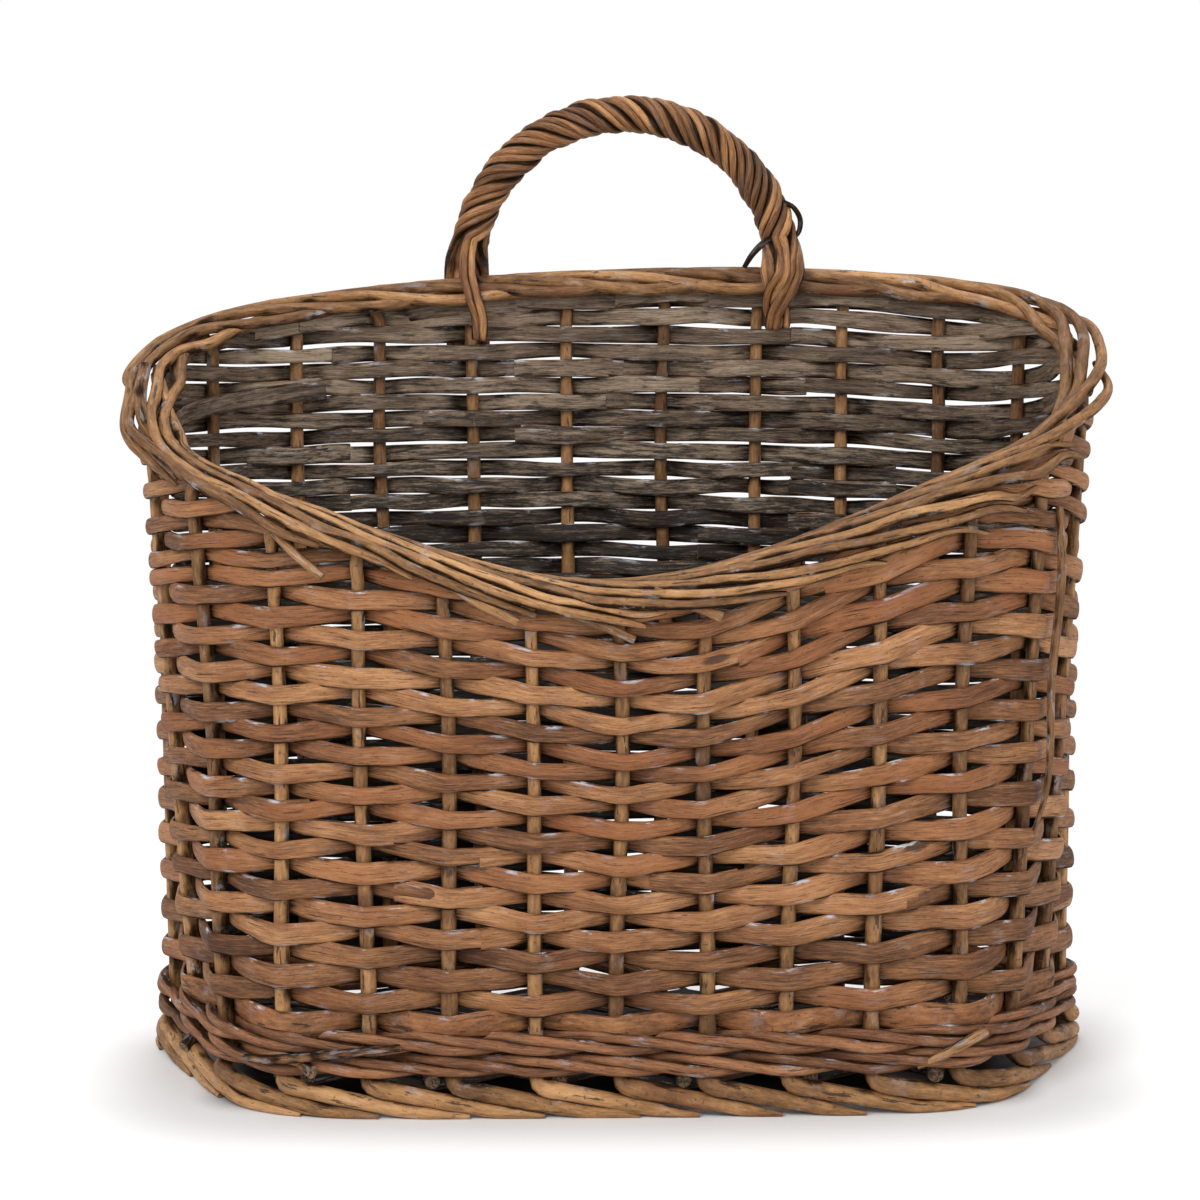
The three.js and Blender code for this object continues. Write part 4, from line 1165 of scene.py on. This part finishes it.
# %% The path of a handle strand
def handle_path(strand):
    """Points of one strand with the outward direction of the rope there: a foot, a half
    circle about which the strand turns, and the other foot."""
    start = strand * np.pi / 2
    end = start + QUARTER_TURNS * np.pi / 2
    left_inside, right_inside = np.cos(start) < -0.5, np.cos(end) < 0.5
    left, right = handle_foot(-1, start, left_inside), handle_foot(1, end, right_inside)
    total = np.pi * HANDLE_RADIUS
    length = np.linspace(0, total, 140)[1:-1]
    turned = np.clip((length - GATHER) / (total - 2 * GATHER), 0, 1)
    angle = start + (end - start) * turned
    bend = np.pi - length / HANDLE_RADIUS
    reach = HANDLE_RADIUS + ROPE_RADIUS * np.sin(angle)
    arch = np.column_stack([
        HANDLE_X + np.cos(bend) * reach,
        ARCH_Y + ROPE_RADIUS * np.cos(angle),
        ARCH_Z + np.sin(bend) * reach,
    ])
    edge = np.clip(np.minimum(length, total - length) / GATHER, 0, 1)
    edge = (edge * edge * (3 - 2 * edge))[:, None]
    foot = np.where((length < total / 2)[:, None], left[-1], right[-1])
    arch[:, :2] = foot[:, :2] * (1 - edge) + arch[:, :2] * edge
    middle = np.column_stack([HANDLE_X + np.cos(bend) * HANDLE_RADIUS, 0 * bend + ARCH_Y,
                              ARCH_Z + np.sin(bend) * HANDLE_RADIUS])
    face = lambda line, inside: np.tile([0, -1.0 if inside else 1.0, 0], (len(line) - 1, 1))
    outs = [face(left, left_inside), unit(arch - middle), face(right, right_inside)]
    points = np.vstack([left[:-1], arch, right[:-1][::-1]])
    return np.column_stack([points, np.vstack(outs)])


SPLIT_STEP = 1.3
SPLITS = ((-1.5, 0.15, 1.7), (1.55, 0.0, 1.95))


def handle_strand(strand):
    """The two splits of one strand, side by side on the outside of the rope: each has its
    place to the side, its lift and its width. They turn slowly about each other and leave
    dark gaps."""
    rng = np.random.default_rng(1100 + strand)
    line = smooth_path(handle_path(strand), SPLIT_STEP)
    path, out = line[:, :3], unit(line[:, 3:])
    along = unit(np.gradient(path, axis=0))
    across = unit(np.cross(out, along))
    s = np.arange(len(path)) * SPLIT_STEP
    splits = []
    for side, lift, wide in SPLITS:
        width = wide * (1 + wander(rng, s, 45, 0.1))
        depth = 0.8 + 0.85 * width
        width[[0, -1]] *= 0.8
        turn = wander(rng, s, 60, 0.3)
        sideways = side * np.cos(turn) - lift * np.sin(turn)
        upwards = lift * np.cos(turn) + side * np.sin(turn)
        middle = path + across * sideways[:, None] + out * upwards[:, None]
        size = np.stack([width, depth], -1)[:, None]
        oval = rod_section(np.ones(len(s)), THIN_SIDES, rng) * size
        # Painted shade on the flanks of each split, where the splits touch, over a little random
        # dirt.
        grime = (0.02 + wander(rng, s, 20, 0.15))[:, None] + 1.1 * rod_sides(THIN_SIDES)
        splits.append(sweep(middle, out, oval, turn, bark=1.0,
                            tone=rng.uniform(-0.1, 0.9) + wander(rng, s, 80, 0.15)[:, None],
                            grime=np.clip(grime, 0, 1), wash=0.05))
    return splits


# %% Loose ends at the handle
LOOSE_ENDS = (
    ((69, 76, 332.5, 1.0), (63.8, 73, 330.4, 1.4), (57.2, 70, 324.6, 1.3), (53.8, 69, 319.4, 1.0)),
    ((70, 76, 346, 0.9), (74.4, 77, 343.4, 1.1), (77.2, 77, 338.6, 1.2), (76.4, 76, 333, 1.1),
     (72, 75, 329.6, 0.9)),
    ((-62, 75, 323, 1.2), (-58.5, 71, 318, 1.5), (-54.5, 67.5, 313.5, 1.3)),
)


def loose_end(number, stations):
    """A blackened end of a split that was pushed through the rope: x, y, z and radius."""
    line = smooth_path(np.array(stations, float), 1.0)
    rng = np.random.default_rng(1200 + number)
    out = np.tile([0.0, -1.0, 0.0], (len(line), 1))
    return sweep(line[:, :3], out, rod_section(line[:, 3], THIN_SIDES, rng), bark=1.0,
                 tone=0.0, grime=0.95, wash=0.1)


make_pieces(4, "handle_strand_{}", "_splits", handle_strand, "handle_willow")
loose_ends = [loose_end(k, stations) for k, stations in enumerate(LOOSE_ENDS)]
make_piece("handle_loose_ends", loose_ends, "handle_willow")
print("pieces made:", len(pieces))

# %% [markdown]
# ## Floor, light and camera
# The basket stands on a plain pale floor that runs out into a white surround, with a dark
# painted shadow where the basket stands. A white floor alone would turn grey away from the
# lamps, so the floor takes the surround's white there.
# The lamps are large and soft, at a level where a colour shows about as it is written.


# %% Floor and surround
FOOT_CORNER = (0.145, 0.035, 0.0)
WHITE = (1, 1, 1, 1)
# The dark floor colour is a painted shadow under the basket.
FLOOR_PALE, FLOOR_PAINTED_SHADOW = (0.86, 0.86, 0.86, 1), (0.03, 0.025, 0.02, 1)
FLOOR_HALF = 6


def vector(tree, operation, output, *inputs):
    """One step of vector arithmetic."""
    node = add(tree, "ShaderNodeVectorMath", dict(enumerate(inputs)), operation=operation)
    return node.outputs[output]


def pale_floor():
    """A wide pale sheet, with a dark painted shadow where the basket stands on it. For the camera
    only, its white is lifted a little outside the foot of the basket and becomes the plain white
    of the surround from about a metre away, so that there is no edge and the shadow stays.
    Beside is the distance from the rectangle that the foot stands on, and away is the
    distance from its middle, with the depth counted nearly double."""
    material, tree, shader = new_material("pale_floor")
    camera_ray = add(tree, "ShaderNodeLightPath").outputs["Is Camera Ray"]
    place = add(tree, "ShaderNodeTexCoord").outputs["Object"]
    away = vector(tree, "LENGTH", 1, vector(tree, "MULTIPLY", 0, place, (1.0, 1.9, 1.0)))
    corner = vector(tree, "SUBTRACT", 0, vector(tree, "ABSOLUTE", 0, place), FOOT_CORNER)
    beside = vector(tree, "LENGTH", 1, vector(tree, "MAXIMUM", 0, corner, (0.0, 0.0, 0.0)))
    # Painted shadow: the sheet turns nearly black where the basket stands.
    sheet = blend_colour(tree, between(tree, beside, 0.0, 0.028), FLOOR_PAINTED_SHADOW, FLOOR_PALE)
    set_inputs(tree, shader, {"Base Color": sheet, "Roughness": 0.9})
    clear = times(tree, between(tree, beside, 0.03, 0.09), camera_ray)
    lift = add(tree, "ShaderNodeEmission", {0: WHITE, 1: times(tree, clear, 0.28)})
    both = add(tree, "ShaderNodeAddShader", {0: shader.outputs[0], 1: lift.outputs[0]})
    white = add(tree, "ShaderNodeEmission", {0: WHITE, 1: 1.0})
    far = times(tree, between(tree, away, 0.35, 1.1), camera_ray)
    mixed = add(tree, "ShaderNodeMixShader", {0: far, 1: both.outputs[0], 2: white.outputs[0]})
    set_inputs(tree, tree.nodes["Material Output"], {0: mixed.outputs[0]})
    mesh = bpy.data.meshes.new("floor")
    low, high = -FLOOR_HALF, FLOOR_HALF
    corners = [(low, low, 0), (high, low, 0), (high, high, 0), (low, high, 0)]
    mesh.from_pydata(corners, [], [(0, 1, 2, 3)])
    mesh.materials.append(material)
    new_object("floor", mesh)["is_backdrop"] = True


def white_surround(level):
    """White to the camera, in gloss and through gaps, and a plain grey light to the rest."""
    world = bpy.data.worlds.new("surround")
    bpy.context.scene.world = world
    world.use_nodes = True
    tree = world.node_tree
    path = add(tree, "ShaderNodeLightPath").outputs
    seen = combine(tree, "MAXIMUM", path["Is Camera Ray"],
                   combine(tree, "MAXIMUM", path["Is Glossy Ray"], path["Is Transmission Ray"]))
    strength = straight(tree, seen, 0.0, 1.0, level, 1.0)
    set_inputs(tree, tree.nodes["Background"], {0: WHITE, 1: strength})


pale_floor()
white_surround(0.5)


# %% Lamps
LIT_POINT = (0, 0, 0.18)


def aim(thing, place, target, roll):
    """Puts a lamp or camera at a place and turns its -Z axis to the target."""
    back = unit(np.subtract(place, target))
    right = unit(np.cross([0, 0, 1], back))
    up = np.cross(back, right)
    c, s = math.cos(roll), math.sin(roll)
    right, up = right * c + up * s, up * c - right * s
    matrix = np.eye(4)
    matrix[:3, :3] = np.column_stack([right, up, back])
    matrix[:3, 3] = place
    thing.matrix_world = Matrix(matrix.tolist())


def soft_lamp(name, place, size, power):
    """A square lamp of the given side that looks at the middle of the basket."""
    lamp = bpy.data.lights.new(name, "AREA")
    lamp.size = size
    lamp.energy = power
    aim(new_object(name, lamp), place, LIT_POINT, 0)


soft_lamp("key", (-0.9, -1.5, 1.5), 1.0, 26)
soft_lamp("fill", (1.3, -1.4, 0.7), 1.2, 11)
soft_lamp("top", (0.1, 0.3, 1.9), 1.2, 12)

# %% Camera
AZIMUTH, ELEVATION, ROLL = math.radians(-0.46), math.radians(9.61), math.radians(-0.31)
DISTANCE = 1.5907
TARGET = np.array([-0.00669, -0.004635, 0.19379])
FOCAL_PIXELS, PHOTO_PIXELS = 4000, 1200

camera = bpy.data.cameras.new("camera")
camera.sensor_width = 36
camera.lens = camera.sensor_width * FOCAL_PIXELS / PHOTO_PIXELS
view_camera = new_object("camera", camera)
bpy.context.scene.camera = view_camera
back = np.array([math.sin(AZIMUTH) * math.cos(ELEVATION),
                 -math.cos(AZIMUTH) * math.cos(ELEVATION), math.sin(ELEVATION)])
aim(view_camera, TARGET + back * DISTANCE, TARGET, ROLL)
bpy.context.scene.view_settings.view_transform = "Standard"

# %% Finish
bpy.context.view_layer.update()
looks_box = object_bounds()
boxes = {name: [list(corner) for corner in box]
         for name, box in (("cad", cad_box), ("looks", looks_box))}
print(boxes)
